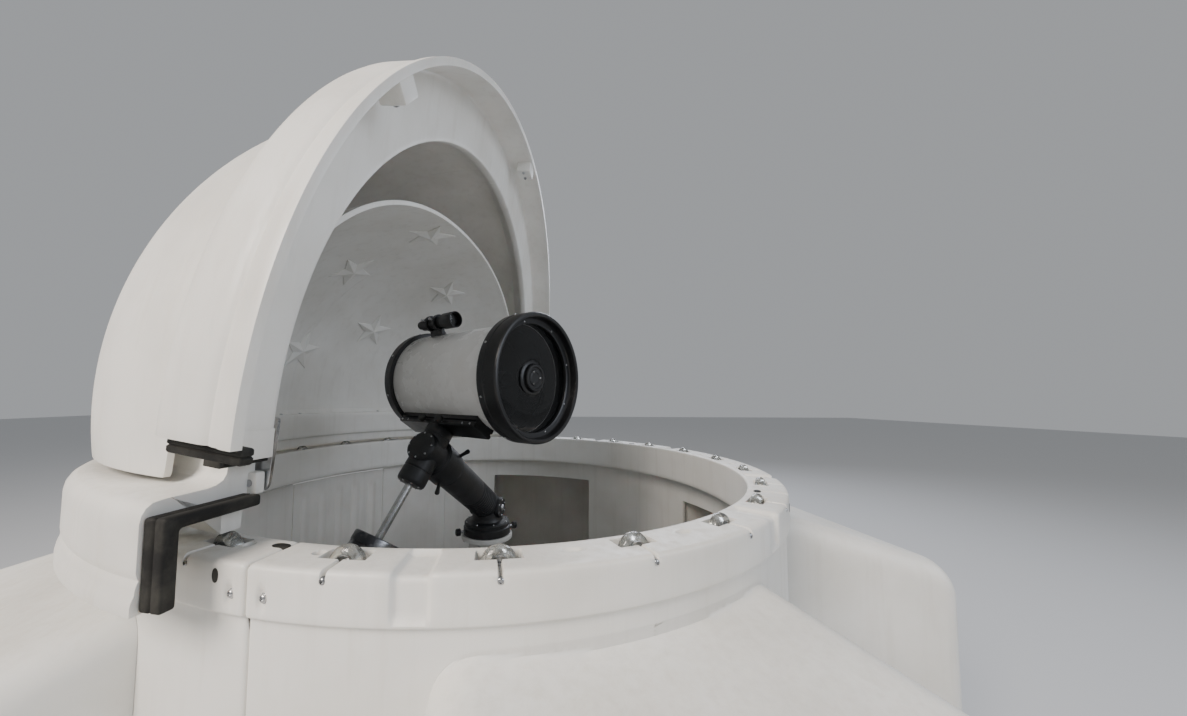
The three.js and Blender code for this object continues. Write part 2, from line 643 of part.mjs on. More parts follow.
// The telescope: a pier, an equatorial head whose polar axis crosses the pier, and a short wide tube
function addTelescope(root) {
  const ahead = new THREE.Vector3(Math.cos(TUBE_HEADING), Math.sin(TUBE_HEADING), 0);
  const side = new THREE.Vector3(-ahead.y, ahead.x, 0);
  const dec = side.clone().multiplyScalar(Math.cos(DEC_RISE));
  dec.z = Math.sin(DEC_RISE);
  const head = TUBE_CENTRE.clone().addScaledVector(dec, -TUBE_OFFSET);
  const level = new THREE.Vector3(head.x, head.y, 0).normalize();
  const slope = -level.dot(dec) / dec.z;
  const polar = new THREE.Vector3(level.x, level.y, slope).normalize();
  const reach = head.clone().setZ(0).length() / Math.hypot(polar.x, polar.y);
  const foot = head.clone().addScaledVector(polar, -reach);
  const up = new THREE.Vector3(0, 0, 1);
  const ground = new THREE.Vector3(0, 0, 0);

  const pier = join(
    bar(ground, up, 0, 20, 190, 24),
    bar(ground, up, 10, PIER_TOP, PIER_RADIUS, 24),
    bar(ground, up, PIER_TOP - 20, PIER_TOP, 120, 24),
  );
  addPart(root, 'pier', pier, WHITE_PAINT());
  const housing = join(
    bar(ground, up, PIER_TOP + GAP, PIER_TOP + 60, 110, 20),
    bar(ground, up, PIER_TOP + 50, foot.z + 30, 70, 20),
    bar(foot, polar, -40, reach - 150, 66, 20),
  );
  addPart(root, 'mount_base', housing, BLACK_PAINT());
  const turret = join(
    bar(foot, polar, reach - 150 + GAP, reach - 40, 74, 20),
    bar(foot, polar, reach - 60, reach + 60, 58, 20),
    bar(head, dec, -TURRET_TAIL, TURRET_END, 52, 20),
  );
  addPart(root, 'mount_turret', turret, BLACK_PAINT());
  const weight = join(
    bar(head, dec, -430, -TURRET_TAIL - GAP, 14, 12),
    bar(head, dec, -400, -320, 78, 20),
  );
  addPart(root, 'counterweight', weight, STEEL());

  const along = (a, b, radius, sides = 32) => bar(TUBE_CENTRE, ahead, a, b, radius, sides);
  const low = TURRET_END + GAP;
  const high = TUBE_OFFSET - TUBE_RADIUS + SADDLE_LIP;
  const saddleBox = new THREE.BoxGeometry(SADDLE_LENGTH, SADDLE_WIDTH, high - low);
  saddleBox.applyMatrix4(new THREE.Matrix4().makeBasis(ahead, dec.clone().cross(ahead), dec));
  const middle = head.clone().addScaledVector(dec, (low + high) / 2);
  saddleBox.translate(middle.x, middle.y, middle.z);
  const cradle = cut(solid(saddleBox), along(TUBE_REAR - 9, TUBE_FRONT + 9, TUBE_RADIUS + GAP));
  addPart(root, 'tube_saddle', cradle, BLACK_PAINT());
  const tube = cut(
    along(TUBE_REAR, TUBE_FRONT, TUBE_RADIUS),
    along(TUBE_REAR - 5, TUBE_FRONT + 5, TUBE_RADIUS - TUBE_WALL),
  );
  addPart(root, 'telescope_tube', tube, WHITE_PAINT());
  const front = cut(
    along(TUBE_FRONT + GAP, TUBE_FRONT + 90, CELL_RADIUS),
    along(TUBE_FRONT + 20, TUBE_FRONT + 100, CELL_RADIUS - 18),
  );
  const hub = along(TUBE_FRONT + 10, TUBE_FRONT + 50, 52, 20);
  addPart(root, 'front_cell', join(front, hub), BLACK_PAINT());
  const rear = join(
    along(TUBE_REAR - 60, TUBE_REAR - GAP, CELL_RADIUS - 15),
    along(TUBE_REAR - 90, TUBE_REAR - 50, 70, 20),
  );
  addPart(root, 'rear_cell', rear, BLACK_PAINT());
  const off = side.clone().multiplyScalar(-Math.sin(DEC_RISE) * 0.42);
  off.z = 0.9;
  off.normalize();
  const axis = TUBE_CENTRE.clone().addScaledVector(off, FINDER_OFFSET);
  const finder = join(
    bar(axis, ahead, FINDER_START, FINDER_START + 230, FINDER_RADIUS, 16),
    bar(axis, ahead, FINDER_START + 170, FINDER_START + 235, FINDER_RADIUS + 7, 16),
    bar(TUBE_CENTRE, off, TUBE_RADIUS + GAP, FINDER_OFFSET, 13, 10)
      .translate(ahead.clone().multiplyScalar(FINDER_START + 90).toArray()),
  );
  addPart(root, 'finder_scope', finder, BLACK_PAINT());
}

const observatory = new THREE.Group();
addWall(observatory);
addBays(observatory);
addDoor(observatory);
addWheels(observatory);
addDome(observatory);
addTelescope(observatory);

export default observatory;
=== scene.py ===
import math
import bmesh
import bpy
import numpy as np
from mathutils import Matrix, Vector


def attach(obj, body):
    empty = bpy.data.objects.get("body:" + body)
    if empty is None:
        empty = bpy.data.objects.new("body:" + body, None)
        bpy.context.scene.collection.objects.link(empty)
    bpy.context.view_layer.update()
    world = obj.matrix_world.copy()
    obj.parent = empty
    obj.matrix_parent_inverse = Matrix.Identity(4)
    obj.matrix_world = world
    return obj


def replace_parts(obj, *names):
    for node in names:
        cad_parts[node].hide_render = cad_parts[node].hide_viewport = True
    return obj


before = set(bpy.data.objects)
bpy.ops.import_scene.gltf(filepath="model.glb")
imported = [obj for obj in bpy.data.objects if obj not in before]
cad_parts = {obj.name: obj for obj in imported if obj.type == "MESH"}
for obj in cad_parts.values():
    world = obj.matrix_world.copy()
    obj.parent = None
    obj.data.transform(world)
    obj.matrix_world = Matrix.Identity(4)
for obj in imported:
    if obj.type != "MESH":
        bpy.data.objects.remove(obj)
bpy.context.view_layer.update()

# The round wall: five rotationally moulded polyethylene panels bolted edge to edge, each with a
# thick ring beam along its head that carries the dome's wheels. The beam, its wheel slots, lifting
# channels and dimples are one moulding, so every edge is softly rounded.
RING_TOP, RING_OUT = 1.220, 1.220
WALL_OUT, WALL_IN = 1.210, 1.195
WHEEL_LINE = 1.145
BEND = math.radians(72)
PANEL_EDGE = BEND / 2 - 0.0002
WHEEL_STEP = BEND / 5
MOUTH = math.asin(0.370 / 1.2025)
BAY_ROOT = WALL_OUT + 0.0005
BOLT_TURN, BOLT_Z = math.radians(34.3), 1.163
UP = np.array([0.0, 0.0, 1.0])
PANELS = {"right": 0, "far": 1, "left": 3, "front": 4}


def srgb(code):
    """One sRGB hex colour as linear RGBA."""
    channel = [int(code[i:i + 2], 16) / 255 for i in (1, 3, 5)]
    return [c / 12.92 if c <= 0.04045 else ((c + 0.055) / 1.055) ** 2.4 for c in channel] + [1.0]


def new_material(name, slot, colour, rough, metal=0.0, **extra):
    """A node material with its fixed shader values on the sockets. The slot argument is not used."""
    m = bpy.data.materials.new(name)
    m.use_nodes = True
    values = {"Base Color": srgb(colour), "Roughness": rough, "Metallic": metal, **extra}
    for key, value in values.items():
        m.node_tree.nodes["Principled BSDF"].inputs[key.replace("_", " ")].default_value = value
    return m


def link(m, source, node, socket):
    """Links a node's first output, or the output of a (node, output) pair, to a socket."""
    other, output = source if isinstance(source, tuple) else (source, 0)
    m.node_tree.links.new(other.outputs[output], node.inputs[socket])


def add(m, kind, links=None, stops=(), **values):
    """Adds one node, sets its properties, sockets and colour stops, and links sockets by name or place."""
    node = m.node_tree.nodes.new("ShaderNode" + kind)
    for key, value in values.items():
        if hasattr(node, key):
            setattr(node, key, value)
        else:
            node.inputs[key.replace("_", " ")].default_value = value
    for i, (place, code) in enumerate(stops):
        node.color_ramp.elements[i].position = place
        node.color_ramp.elements[i].color = srgb(code)
    for key, source in (links or {}).items():
        link(m, source, node, key)
    return node


def plug(m, source, socket):
    """Links a source to a socket of the material's shader."""
    link(m, source, m.node_tree.nodes["Principled BSDF"], socket)


# White polyethylene as the photograph's panels: waxy, slightly warm, and greyer in chalked patches
# about 300 mm across. Thin runs of dust come down the sides, dust lies on faces that look up and near
# the ground, and a 2 mm grain over broad waves breaks the highlights as on a moulding.
m = new_material("rotomoulded white polyethylene, weathered", "moulded_plastic", "#eeede8", 0.4, IOR=1.5,
                 Subsurface_Weight=0.12, Subsurface_Scale=0.012, Subsurface_Radius=(1.0, 0.75, 0.6))
where = add(m, "TexCoord"), "Object"
patches = add(m, "TexNoise", {"Vector": where}, Scale=3.2, Detail=4.0, Roughness=0.55)
chalk = add(m, "ValToRGB", {"Fac": patches}, [(0.3, "#e2e0d9"), (0.62, "#eeede8")])
upright = add(m, "Mapping", {"Vector": where}, Scale=(1.0, 1.0, 0.07))
runs = add(m, "TexNoise", {"Vector": upright}, Scale=26.0, Detail=5.0, Roughness=0.6)
runs = add(m, "MapRange", {"Value": runs}, From_Min=0.52, From_Max=0.78, To_Max=0.20)
facing = add(m, "SeparateXYZ", {"Vector": (add(m, "NewGeometry"), "Normal")})
facing = add(m, "MapRange", {"Value": (facing, "Z")}, From_Min=0.72, From_Max=1.0, To_Max=0.3)
height = add(m, "SeparateXYZ", {"Vector": where})
height = add(m, "MapRange", {"Value": (height, "Z")}, From_Min=0.32, From_Max=0.0, To_Max=0.5)
specks = add(m, "TexNoise", {"Vector": where}, Scale=40.0, Detail=7.0, Roughness=0.7)
specks = add(m, "MapRange", {"Value": specks}, From_Min=0.42, From_Max=0.7)
lying = add(m, "Math", {0: facing, 1: specks}, operation="MULTIPLY")
splash = add(m, "Math", {0: height, 1: specks}, operation="MULTIPLY")
dirt = add(m, "Math", {0: runs, 1: lying}, operation="MAXIMUM")
dirt = add(m, "Math", {0: dirt, 1: splash}, operation="MAXIMUM")
dusty = add(m, "Mix", {"Factor": dirt, 6: chalk}, data_type="RGBA")
dusty.inputs[7].default_value = srgb("#b9b3a6")
plug(m, (dusty, 2), "Base Color")
sheen = add(m, "MapRange", {"Value": patches}, From_Min=0.3, From_Max=0.7, To_Min=0.36, To_Max=0.5)
plug(m, add(m, "Math", {0: sheen, 1: dirt}, operation="ADD"), "Roughness")
waves = add(m, "TexNoise", {"Vector": where}, Scale=7.0, Detail=2.0, Roughness=0.4)
waves = add(m, "Bump", {"Height": waves}, Strength=0.35, Distance=0.006)
grain = add(m, "TexNoise", {"Vector": where}, Scale=420.0, Detail=3.0)
plug(m, add(m, "Bump", {"Height": grain, "Normal": waves}, Strength=0.3, Distance=0.0006), "Normal")
white_poly = m


def mesh_piece(name, shape, material, body, sharp=38, bevel=0.0):
    """A mesh object from (points, faces), smooth but for edges sharper than the given angle.

    It rides its body and has every face turned outwards.
    """
    mesh = bpy.data.meshes.new(name)
    mesh.from_pydata(np.asarray(shape[0]).tolist(), [], shape[1])
    mesh.validate()
    mesh.materials.append(material)
    obj = bpy.data.objects.new(name, mesh)
    bpy.context.collection.objects.link(obj)
    if bevel:
        soft = obj.modifiers.new("soft edges", "BEVEL")
        soft.width = bevel
        soft.segments = 2
        soft.limit_method = "ANGLE"
        soft.angle_limit = math.radians(40)
        soft.use_clamp_overlap = True
        mesh = bpy.data.meshes.new_from_object(obj.evaluated_get(bpy.context.evaluated_depsgraph_get()))
        obj.modifiers.clear()
        obj.data = mesh
    mesh.polygons.foreach_set("use_smooth", np.ones(len(mesh.polygons), dtype=bool))
    mesh.set_sharp_from_angle(angle=math.radians(sharp))
    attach(obj, body)
    b = bmesh.new()
    b.from_mesh(mesh)
    bmesh.ops.recalc_face_normals(b, faces=b.faces)
    b.to_mesh(mesh)
    b.free()
    return obj


def welded(points, faces, reach=0.00002):
    """Points closer than the reach made one, with folded faces left out."""
    key = np.round(points / reach).astype(np.int64)
    _, first_at, same = np.unique(key, axis=0, return_index=True, return_inverse=True)
    same, clean = same.reshape(-1).tolist(), []
    for face in faces:
        face = [same[v] for v in face]
        face = [v for i, v in enumerate(face) if v != face[i - 1]]
        if len(set(face)) >= 3 and len(set(face)) == len(face):
            clean.append(face)
    return points[first_at], clean


def two_sided(outer, inner, keep=None):
    """A closed solid between two grids of points with the same rows and columns.

    Rows run along the section and columns run round it. Cells left out of keep make openings, and
    every edge of what is kept is closed with a strip from the outer grid to the inner one. The weld
    closes poles and seams, and strips that then lie back to back on a seam are left out.
    """
    rows, cols = outer.shape[:2]
    keep = np.ones((rows - 1, cols - 1), bool) if keep is None else keep
    points = np.concatenate([outer.reshape(-1, 3), inner.reshape(-1, 3)])
    index = np.arange(rows * cols).reshape(rows, cols)
    shift = rows * cols
    r, c = np.nonzero(keep)
    a, b, d, e = index[r, c], index[r, c + 1], index[r + 1, c + 1], index[r + 1, c]
    quads = [np.stack([a, b, d, e], 1), np.stack([e, d, b, a], 1) + shift]
    padded = np.pad(keep, 1)
    for dr, dc, first, second in [(-1, 0, (0, 0), (0, 1)), (1, 0, (1, 1), (1, 0)),
                                  (0, -1, (1, 0), (0, 0)), (0, 1, (0, 1), (1, 1))]:
        edge = ~padded[r + 1 + dr, c + 1 + dc]
        p = index[r[edge] + first[0], c[edge] + first[1]]
        q = index[r[edge] + second[0], c[edge] + second[1]]
        quads.append(np.stack([q, p, p + shift, q + shift], 1))
    points, faces = welded(points, np.concatenate(quads).tolist(), 0.00005)
    corners = [tuple(sorted(face)) for face in faces]
    seen = {}
    for key in corners:
        seen[key] = seen.get(key, 0) + 1
    return points, [face for face, key in zip(faces, corners) if seen[key] == 1]


def mm(path):
    """A path given in millimetres, in metres."""
    return [(a / 1000, b / 1000) for a, b in path]


def paired(outer, inner, step):
    """Both sides of a section cut into the same number of points, from matching corner points."""
    a, b = [outer[0]], [inner[0]]
    for p0, p1, q0, q1 in zip(outer[:-1], outer[1:], inner[:-1], inner[1:]):
        n = max(1, int(math.ceil(max(math.dist(p0, p1), math.dist(q0, q1)) / step)))
        for i in range(1, n + 1):
            a.append((p0[0] + (p1[0] - p0[0]) * i / n, p0[1] + (p1[1] - p0[1]) * i / n))
            b.append((q0[0] + (q1[0] - q0[0]) * i / n, q0[1] + (q1[1] - q0[1]) * i / n))
    return np.array(a), np.array(b)


def turned(points, angle):
    """Points turned about the upright axis."""
    x, y, z = np.moveaxis(np.asarray(points, float), -1, 0)
    c, s = math.cos(angle), math.sin(angle)
    return np.stack([x * c - y * s, x * s + y * c, z], -1)


def round_axis(r, a, z, angle):
    """A grid of points from radii, angles and heights, turned about the upright axis."""
    grid = np.stack(np.broadcast_arrays(r * np.cos(a), r * np.sin(a), z), -1)
    return turned(grid, angle)[:, ::-1]


def step_in(value, edge, soft):
    """0 outside an edge, 1 inside it, with a smooth fillet between."""
    t = np.clip((value - edge + soft) / (2 * soft), 0, 1)
    return t * t * (3 - 2 * t)


def wall_panel(name, place, floor, mouth):
    """One panel of the wall as a solid of revolution with its details pressed into the grid.

    The outer path climbs the wall, crosses the beam's top and ends at its inner edge, and the inner
    path climbs the inside and the beam's underside and inner face. Slots, channels, dimples and
    holes are smooth steps in height or radius, on columns set close together at their edges.
    """
    slots = WHEEL_STEP * np.arange(-2, 3)
    channels, dimples, holes = (np.radians([a, -a]) for a in (21.6, 7.2, 31.8))
    bolts = (BOLT_TURN, -BOLT_TURN)
    slot_half, slit_half, channel_half = 0.043, 0.0035, 0.030

    def edges(centre, half, soft):
        return {centre + s * (half + d) / WHEEL_LINE for s in (-1, 1)
                for d in (-soft, -soft / 2, 0, soft / 2, soft)}

    marks = set(np.linspace(-PANEL_EDGE, PANEL_EDGE, 2 + int(2 * PANEL_EDGE / math.radians(0.8))))
    for c in slots:
        marks |= edges(c, slot_half, 0.003) | edges(c, slit_half, 0.002)
    for c in channels:
        marks |= edges(c, channel_half, 0.006)
    for centres, reach, count, r in ((dimples, 0.024, 13, WHEEL_LINE), (holes, 0.016, 17, WHEEL_LINE),
                                     (bolts, 0.016, 11, RING_OUT)):
        for c in centres:
            marks |= set(c + np.linspace(-reach, reach, count) / r)
    if mouth:
        marks |= {MOUTH, -MOUTH}
    for s in (-1, 1):
        marks |= set(s * (BEND / 2 - np.array([0.002, 0.004, 0.007, 0.010]) / 1.2))
    marks = np.array(sorted(m for m in marks if abs(m) <= PANEL_EDGE + 1e-9))
    marks = marks[np.concatenate([[True], np.diff(marks) > 2e-4])]
    marks[-1] = PANEL_EDGE

    outer = mm([(1210, floor), (1210, 1120), (1211.5, 1124.5), (1218.8, 1129), (1220, 1134), (1220, 1209),
                (1218.4, 1215.6), (1214, 1219), (1208, 1220), (1108.5, 1220), (1103.5, 1218.5),
                (1100.5, 1214.5), (1100, 1208)])
    inner = mm([(1195, floor), (1195, 1030), (1190, 1040), (1180, 1044), (1165, 1044), (1140, 1044),
                (1125, 1044), (1112, 1044), (1103, 1049), (1100, 1060), (1100, 1100), (1100, 1150),
                (1100, 1207.5)])
    low, high = paired(outer, inner, 0.0125)
    flat = low[:, 1] > RING_TOP - 0.0001
    first, last = np.nonzero(flat)[0][[0, -1]]
    radii = set(np.round(low[flat, 0], 5)) | {1.122, 1.125, 1.165, 1.168}
    radii |= set(np.linspace(1.128, 1.162, 13))
    radii = np.array(sorted(radii, reverse=True))
    share = (radii - low[first, 0]) / (low[last, 0] - low[first, 0])
    under = [np.interp(share, np.linspace(0, 1, last - first + 1), high[first:last + 1, i]) for i in (0, 1)]
    low = np.concatenate([low[:first], np.stack([radii, np.full(len(radii), RING_TOP)], 1), low[last + 1:]])
    high = np.concatenate([high[:first], np.stack(under, 1), high[last + 1:]])

    R, A = np.meshgrid(low[:, 0], marks, indexing="ij")
    Z = np.repeat(low[:, 1][:, None], len(marks), 1)
    drop, inset = np.zeros_like(R), np.zeros_like(R)
    on_top = Z > 1.2025
    for c in slots:
        along = np.abs(A - c) * WHEEL_LINE
        pocket = step_in(-along, -slot_half, 0.003) * step_in(-np.abs(R - WHEEL_LINE), -0.020, 0.003)
        slit = step_in(-along, -slit_half, 0.002) * (R > 1.150)
        drop = np.maximum(drop, 0.056 * pocket * on_top)
        drop = np.maximum(drop, 0.015 * slit * on_top)
        inset = np.maximum(inset, 0.006 * slit * (Z > 1.204))
    for c in channels:
        reach = step_in(-np.abs(A - c) * WHEEL_LINE, -channel_half, 0.006)
        drop = np.maximum(drop, 0.010 * reach * step_in(R, 1.116, 0.004) * (Z > 1.2))
        inset = np.maximum(inset, 0.010 * reach * step_in(Z, 1.140, 0.006) * (R > 1.205))
    for c in dimples:
        away = np.hypot((A - c) * WHEEL_LINE / 0.021, (R - 1.148) / 0.012)
        drop = np.maximum(drop, 0.006 * step_in(-away, -0.85, 0.3) * on_top)
    for c in holes:
        away = np.hypot((A - c) * WHEEL_LINE, R - WHEEL_LINE)
        drop = np.maximum(drop, 0.025 * step_in(-away, -0.0105, 0.0016) * on_top)
    for c in bolts:
        away = np.hypot((A - c) * RING_OUT / 0.011, (Z - BOLT_Z) / 0.020)
        inset = np.maximum(inset, 0.007 * step_in(-away, -0.9, 0.25) * (R > 1.215))
    roll = 0.010
    ends = np.clip(roll - np.minimum(np.abs(A - BEND / 2), np.abs(A + BEND / 2)) * 1.2, 0, roll)
    rolled = roll - np.sqrt(np.clip(roll ** 2 - ends ** 2, 0, None))
    R = R - inset - rolled * (R > 1.205)
    Z = Z - drop - rolled * (Z > 1.215)

    keep = np.ones((len(low) - 1, len(marks) - 1), bool)
    if mouth:
        inside = np.abs(marks[:-1] + marks[1:]) / 2 < MOUTH
        outside = (np.arange(len(low) - 1) < first) & (low[:-1, 0] < BAY_ROOT)
        below = outside & ((low[:-1, 1] + low[1:, 1]) / 2 < 1.0)
        keep &= ~(below[:, None] & inside[None, :])
    skins = round_axis(R, A, Z, place * BEND), round_axis(high[:, :1], A, high[:, 1:], place * BEND)
    return mesh_piece(name, two_sided(*skins, keep[:, ::-1]), white_poly, "enclosure", sharp=50)


for side, place in PANELS.items():
    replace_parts(wall_panel(f"{side}_wall_moulding", place, 0, True), f"{side}_wall")
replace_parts(wall_panel("door_head_moulding", 2, 1020.5, False), "door_head_ring")

# The narrow panels beside the doorway, two curved skins with rounded upright edges.
DOOR_TURN = 2 * BEND
for name, ends in (("door_latch_wall", (-PANEL_EDGE, -WHEEL_STEP)),
                   ("door_hinge_wall", (WHEEL_STEP, PANEL_EDGE))):
    z = np.concatenate([[0.0], np.linspace(0.004, 1.0157, 30), [1.0197]])[:, None]
    skins = [round_axis(r, np.linspace(*ends, 14)[None, :], z, DOOR_TURN) for r in (WALL_OUT, WALL_IN)]
    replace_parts(mesh_piece(f"{name}_moulding", two_sided(*skins), white_poly, "enclosure", bevel=0.003),
                name)

# The bays: hollow mouldings bolted over openings of four wall panels, wider outwards, with flat
# sloping tops and generously rounded edges, so that the wheels' load never reaches them.
BAY_START, BAY_DEPTH = 1.125, 0.665
BAY_ROLL, BAY_CORNER = 1.700, 0.085


def bay_grid(inset):
    """Sections of the bay from the wall outwards, each a box open below with rounded upper edges.

    Each station has its own distance from the wall's centre, half width, height and corner radius.
    The last ones close in so that the outer end is rounded like a pillow's side, and rings that
    shrink to the middle close the end face with even cells.
    """
    stations = [(x, 0.0) for x in np.linspace(1.128, BAY_ROLL, 24)]
    roll = np.linspace(0, math.pi / 2, 11)[1:]
    stations += [(BAY_ROLL + 0.0857 * math.sin(t), 0.080 * (1 - math.cos(t))) for t in roll]
    grid = []
    for x, shrink in stations:
        t = (x - BAY_START) / BAY_DEPTH
        half = 0.414 + 0.166 * t - inset - shrink
        top = 1.085 - 0.190 * t - inset - shrink
        r = BAY_CORNER - inset
        sag = 0.006 * math.sin(math.pi * min(1, max(0, t)))
        side = [(half, z) for z in np.linspace(0.0, top - r, 26)]
        side += [(half - r + r * math.cos(a), top - r + r * math.sin(a))
                 for a in np.linspace(0, math.pi / 2, 9)[1:]]
        side += [(y, top - sag * math.cos(0.5 * math.pi * y / half) * 0.4)
                 for y in np.linspace(half - r, 0, 14)[1:]]
        whole = side + [(-y, z) for y, z in side[-2::-1]]
        grid.append([(x - (inset if shrink else 0), y, z) for y, z in whole])
    last = np.array(grid[-1])
    for share in np.arange(1, 17) / 16:
        ring = last.copy()
        ring[:, 1] = last[:, 1] * (1 - share)
        ring[:, 0] = last[:, 0] + 0.004 * math.sin(share * math.pi / 2)
        grid.append(ring)
    grid = np.array([np.array(row) for row in grid])
    on_wall = np.sqrt(np.clip(BAY_ROOT ** 2 - grid[..., 1] ** 2, 0, None))
    grid[..., 0] = np.where(np.hypot(grid[..., 0], grid[..., 1]) < BAY_ROOT, on_wall, grid[..., 0])
    return grid


for side, place in PANELS.items():
    shape = two_sided(*(turned(bay_grid(inset), place * BEND) for inset in (0.0, 0.012)))
    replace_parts(mesh_piece(f"{side}_bay_moulding", shape, white_poly, "enclosure", sharp=50), f"{side}_bay")

# The door: a curved leaf of the same moulded plastic in the fifth panel, stiffened by upright ribs
# that show on the inside. It hangs on two stainless block hinges outside and opens by a lever.
HINGE_TURN = DOOR_TURN + WHEEL_STEP
HINGE_HEIGHTS = [0.230, 0.800]
LEAF_EDGE = WHEEL_STEP - 0.005 / WALL_IN
z = np.concatenate([[0.0122], np.linspace(0.020, 1.008, 60), [1.0148]])[:, None]
a = np.linspace(-LEAF_EDGE, LEAF_EDGE, 121)[None, :]
ribs = np.zeros((z.size, a.size))
for centre in np.linspace(-0.75, 0.75, 5) * LEAF_EDGE:
    upright = step_in(z, 0.09, 0.012) * step_in(-z, -0.94, 0.012)
    ribs = np.maximum(ribs, step_in(-np.abs(a - centre) * 1.2, -0.022, 0.010) * upright)
field = step_in(-np.abs(a) * 1.2, -(LEAF_EDGE * 1.2 - 0.045), 0.008) * step_in(z, 0.070, 0.008)
field = field * step_in(-z, -0.955, 0.008)
skins = [round_axis(r, a, z, DOOR_TURN) for r in (WALL_OUT - 0.004 * field, 1.1953 + 0.0085 * ribs)]
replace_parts(mesh_piece("door_leaf_moulding", two_sided(*skins), white_poly, "door", sharp=50), "door_leaf")


def brushed_steel(name, colour, rough, along):
    """Stainless steel with fine brush lines along one axis, which stretch the highlights."""
    m = new_material(name, "steel", colour, rough, 1.0, Anisotropic=0.4)
    where = add(m, "TexCoord"), "Object"
    scale = [1.0 if i == along else 30.0 for i in range(3)]
    lines = add(m, "Mapping", {"Vector": where}, Scale=scale)
    lines = add(m, "TexNoise", {"Vector": lines}, Scale=45.0, Detail=5.0, Roughness=0.7)
    smudge = add(m, "TexNoise", {"Vector": where}, Scale=18.0, Detail=3.0)
    sheen = add(m, "MapRange", {"Value": lines}, From_Min=0.3, From_Max=0.7, To_Min=rough - 0.06,
                To_Max=rough + 0.1)
    sheen = add(m, "Math", {0: sheen, 1: smudge}, operation="MULTIPLY_ADD")
    sheen.inputs[2].default_value = 0.12
    plug(m, sheen, "Roughness")
    plug(m, add(m, "ValToRGB", {"Fac": smudge}, [(0.35, "#a4a5a6"), (0.6, colour)]), "Base Color")
    plug(m, add(m, "Bump", {"Height": lines}, Strength=0.12, Distance=0.0002), "Normal")
    return m


steel = brushed_steel("brushed stainless steel", "#c6c7c8", 0.26, 2)


def between_rings(count, steps):
    """Four-sided faces between rings that each have the same number of points."""
    index = np.arange(count * steps).reshape(count, steps)
    return [face for a, b in zip(index[:-1], index[1:])
            for face in np.stack([a, np.roll(a, -1), np.roll(b, -1), b], 1).tolist()]


def capped(rings):
    """Rings of points joined into a bar with flat ends."""
    steps, total = len(rings[0]), len(rings) * len(rings[0])
    ends = [list(range(steps))[::-1], list(range(total - steps, total))]
    return np.concatenate(rings), ends + between_rings(len(rings), steps)


def unit(v):
    """A direction of length one."""
    return np.array(v) / np.linalg.norm(v)


def lathe(path, centre, axis, steps):
    """A profile of (radius, distance along the axis) points turned about an axis."""
    axis = unit(axis)
    side = unit(np.cross(axis, UP if abs(axis[2]) < 0.9 else [1.0, 0.0, 0.0]))
    t = np.linspace(0, 2 * math.pi, steps, endpoint=False)
    ring = np.cos(t)[:, None] * side + np.sin(t)[:, None] * np.cross(axis, side)
    path = np.array(path)
    points = np.array(centre) + path[:, None, 1:2] * axis + path[:, None, 0:1] * ring[None]
    return welded(points.reshape(-1, 3), between_rings(len(path), steps))


def cylinder(inner, outer, start, end):
    """The profile of a cylinder in millimetres, hollow unless the inner radius is zero."""
    return mm([(inner, start), (outer, start), (outer, end), (inner, end)])


def merged(parts):
    """Several point and face lists as one."""
    points, faces, shift = [], [], 0
    for p, f in parts:
        points.append(np.asarray(p))
        faces += [[v + shift for v in face] for face in f]
        shift += len(p)
    return np.concatenate(points), faces


def rounded(profile, r, steps=4):
    """A closed outline with every corner rounded by about r, ending where it began.

    A corner on the axis, where the first value is zero, stays as it is.
    """
    pts = [np.array(p, float) for p in profile]
    out = []
    for i, p in enumerate(pts):
        a, b = pts[i - 1] - p, pts[(i + 1) % len(pts)] - p
        if abs(p[0]) < 1e-9:
            out.append(p)
            continue
        d = min(r, np.linalg.norm(a) * 0.45, np.linalg.norm(b) * 0.45)
        u, v = p + unit(a) * d, p + unit(b) * d
        out += [(1 - t) ** 2 * u + 2 * t * (1 - t) * p + t * t * v for t in np.linspace(0, 1, steps + 1)]
    return [tuple(p) for p in out + out[:1]]


def bolt_head(centre, axis, across, thick):
    """A button head of a size in millimetres: a domed disc with its socket as a shallow cup."""
    shape = [(1, 0.3), (0.92, 0.62), (0.7, 0.9), (0.45, 1), (0.42, 0.55), (0, 0.5)]
    return lathe(mm([(0, -1), (across / 2, -1)] + [(across / 2 * r, thick * h) for r, h in shape]), centre,
                 axis, 18)


def hex_nut(centre, axis, across, thick):
    """A six-sided nut in millimetres, on a washer, with the stud's rounded end standing out."""
    layers = [([(0, 0), (1.45, 0), (1.45, 0.16), (0, 0.16)], 24),
              ([(0, 0.1), (1.1, 0.1), (1.15, 0.25), (1.15, 0.9), (1, 1), (0, 1)], 6),
              ([(0, 0.5), (0.55, 0.5), (0.55, 1.3), (0.42, 1.45), (0, 1.5)], 14)]
    return merged([lathe(mm([(across / 2 * r, thick * h) for r, h in path]), centre, axis, steps)
                   for path, steps in layers])


def brick(low, high, angle=0.0):
    """A block between two corners, turned about the upright axis. Its piece's bevel rounds it."""
    ends = [sorted(pair) for pair in zip(low, high)]
    corners = [(x, y, z) for x in ends[0] for y in ends[1] for z in ends[2]]
    faces = [[0, 1, 3, 2], [4, 6, 7, 5], [0, 4, 5, 1], [2, 3, 7, 6], [0, 2, 6, 4], [1, 5, 7, 3]]
    return turned(corners, angle), faces


def loft(stations, u, v, steps=28, power=2.6):
    """A bar through stations of (centre, half size along u, half size along v)."""
    t = np.linspace(0, 2 * math.pi, steps, endpoint=False)
    c = np.sign(np.cos(t)) * np.abs(np.cos(t)) ** (2 / power)
    s = np.sign(np.sin(t)) * np.abs(np.sin(t)) ** (2 / power)
    return capped([np.array(p) + hu * c[:, None] * np.array(u) + hv * s[:, None] * np.array(v)
                   for p, hu, hv in stations])


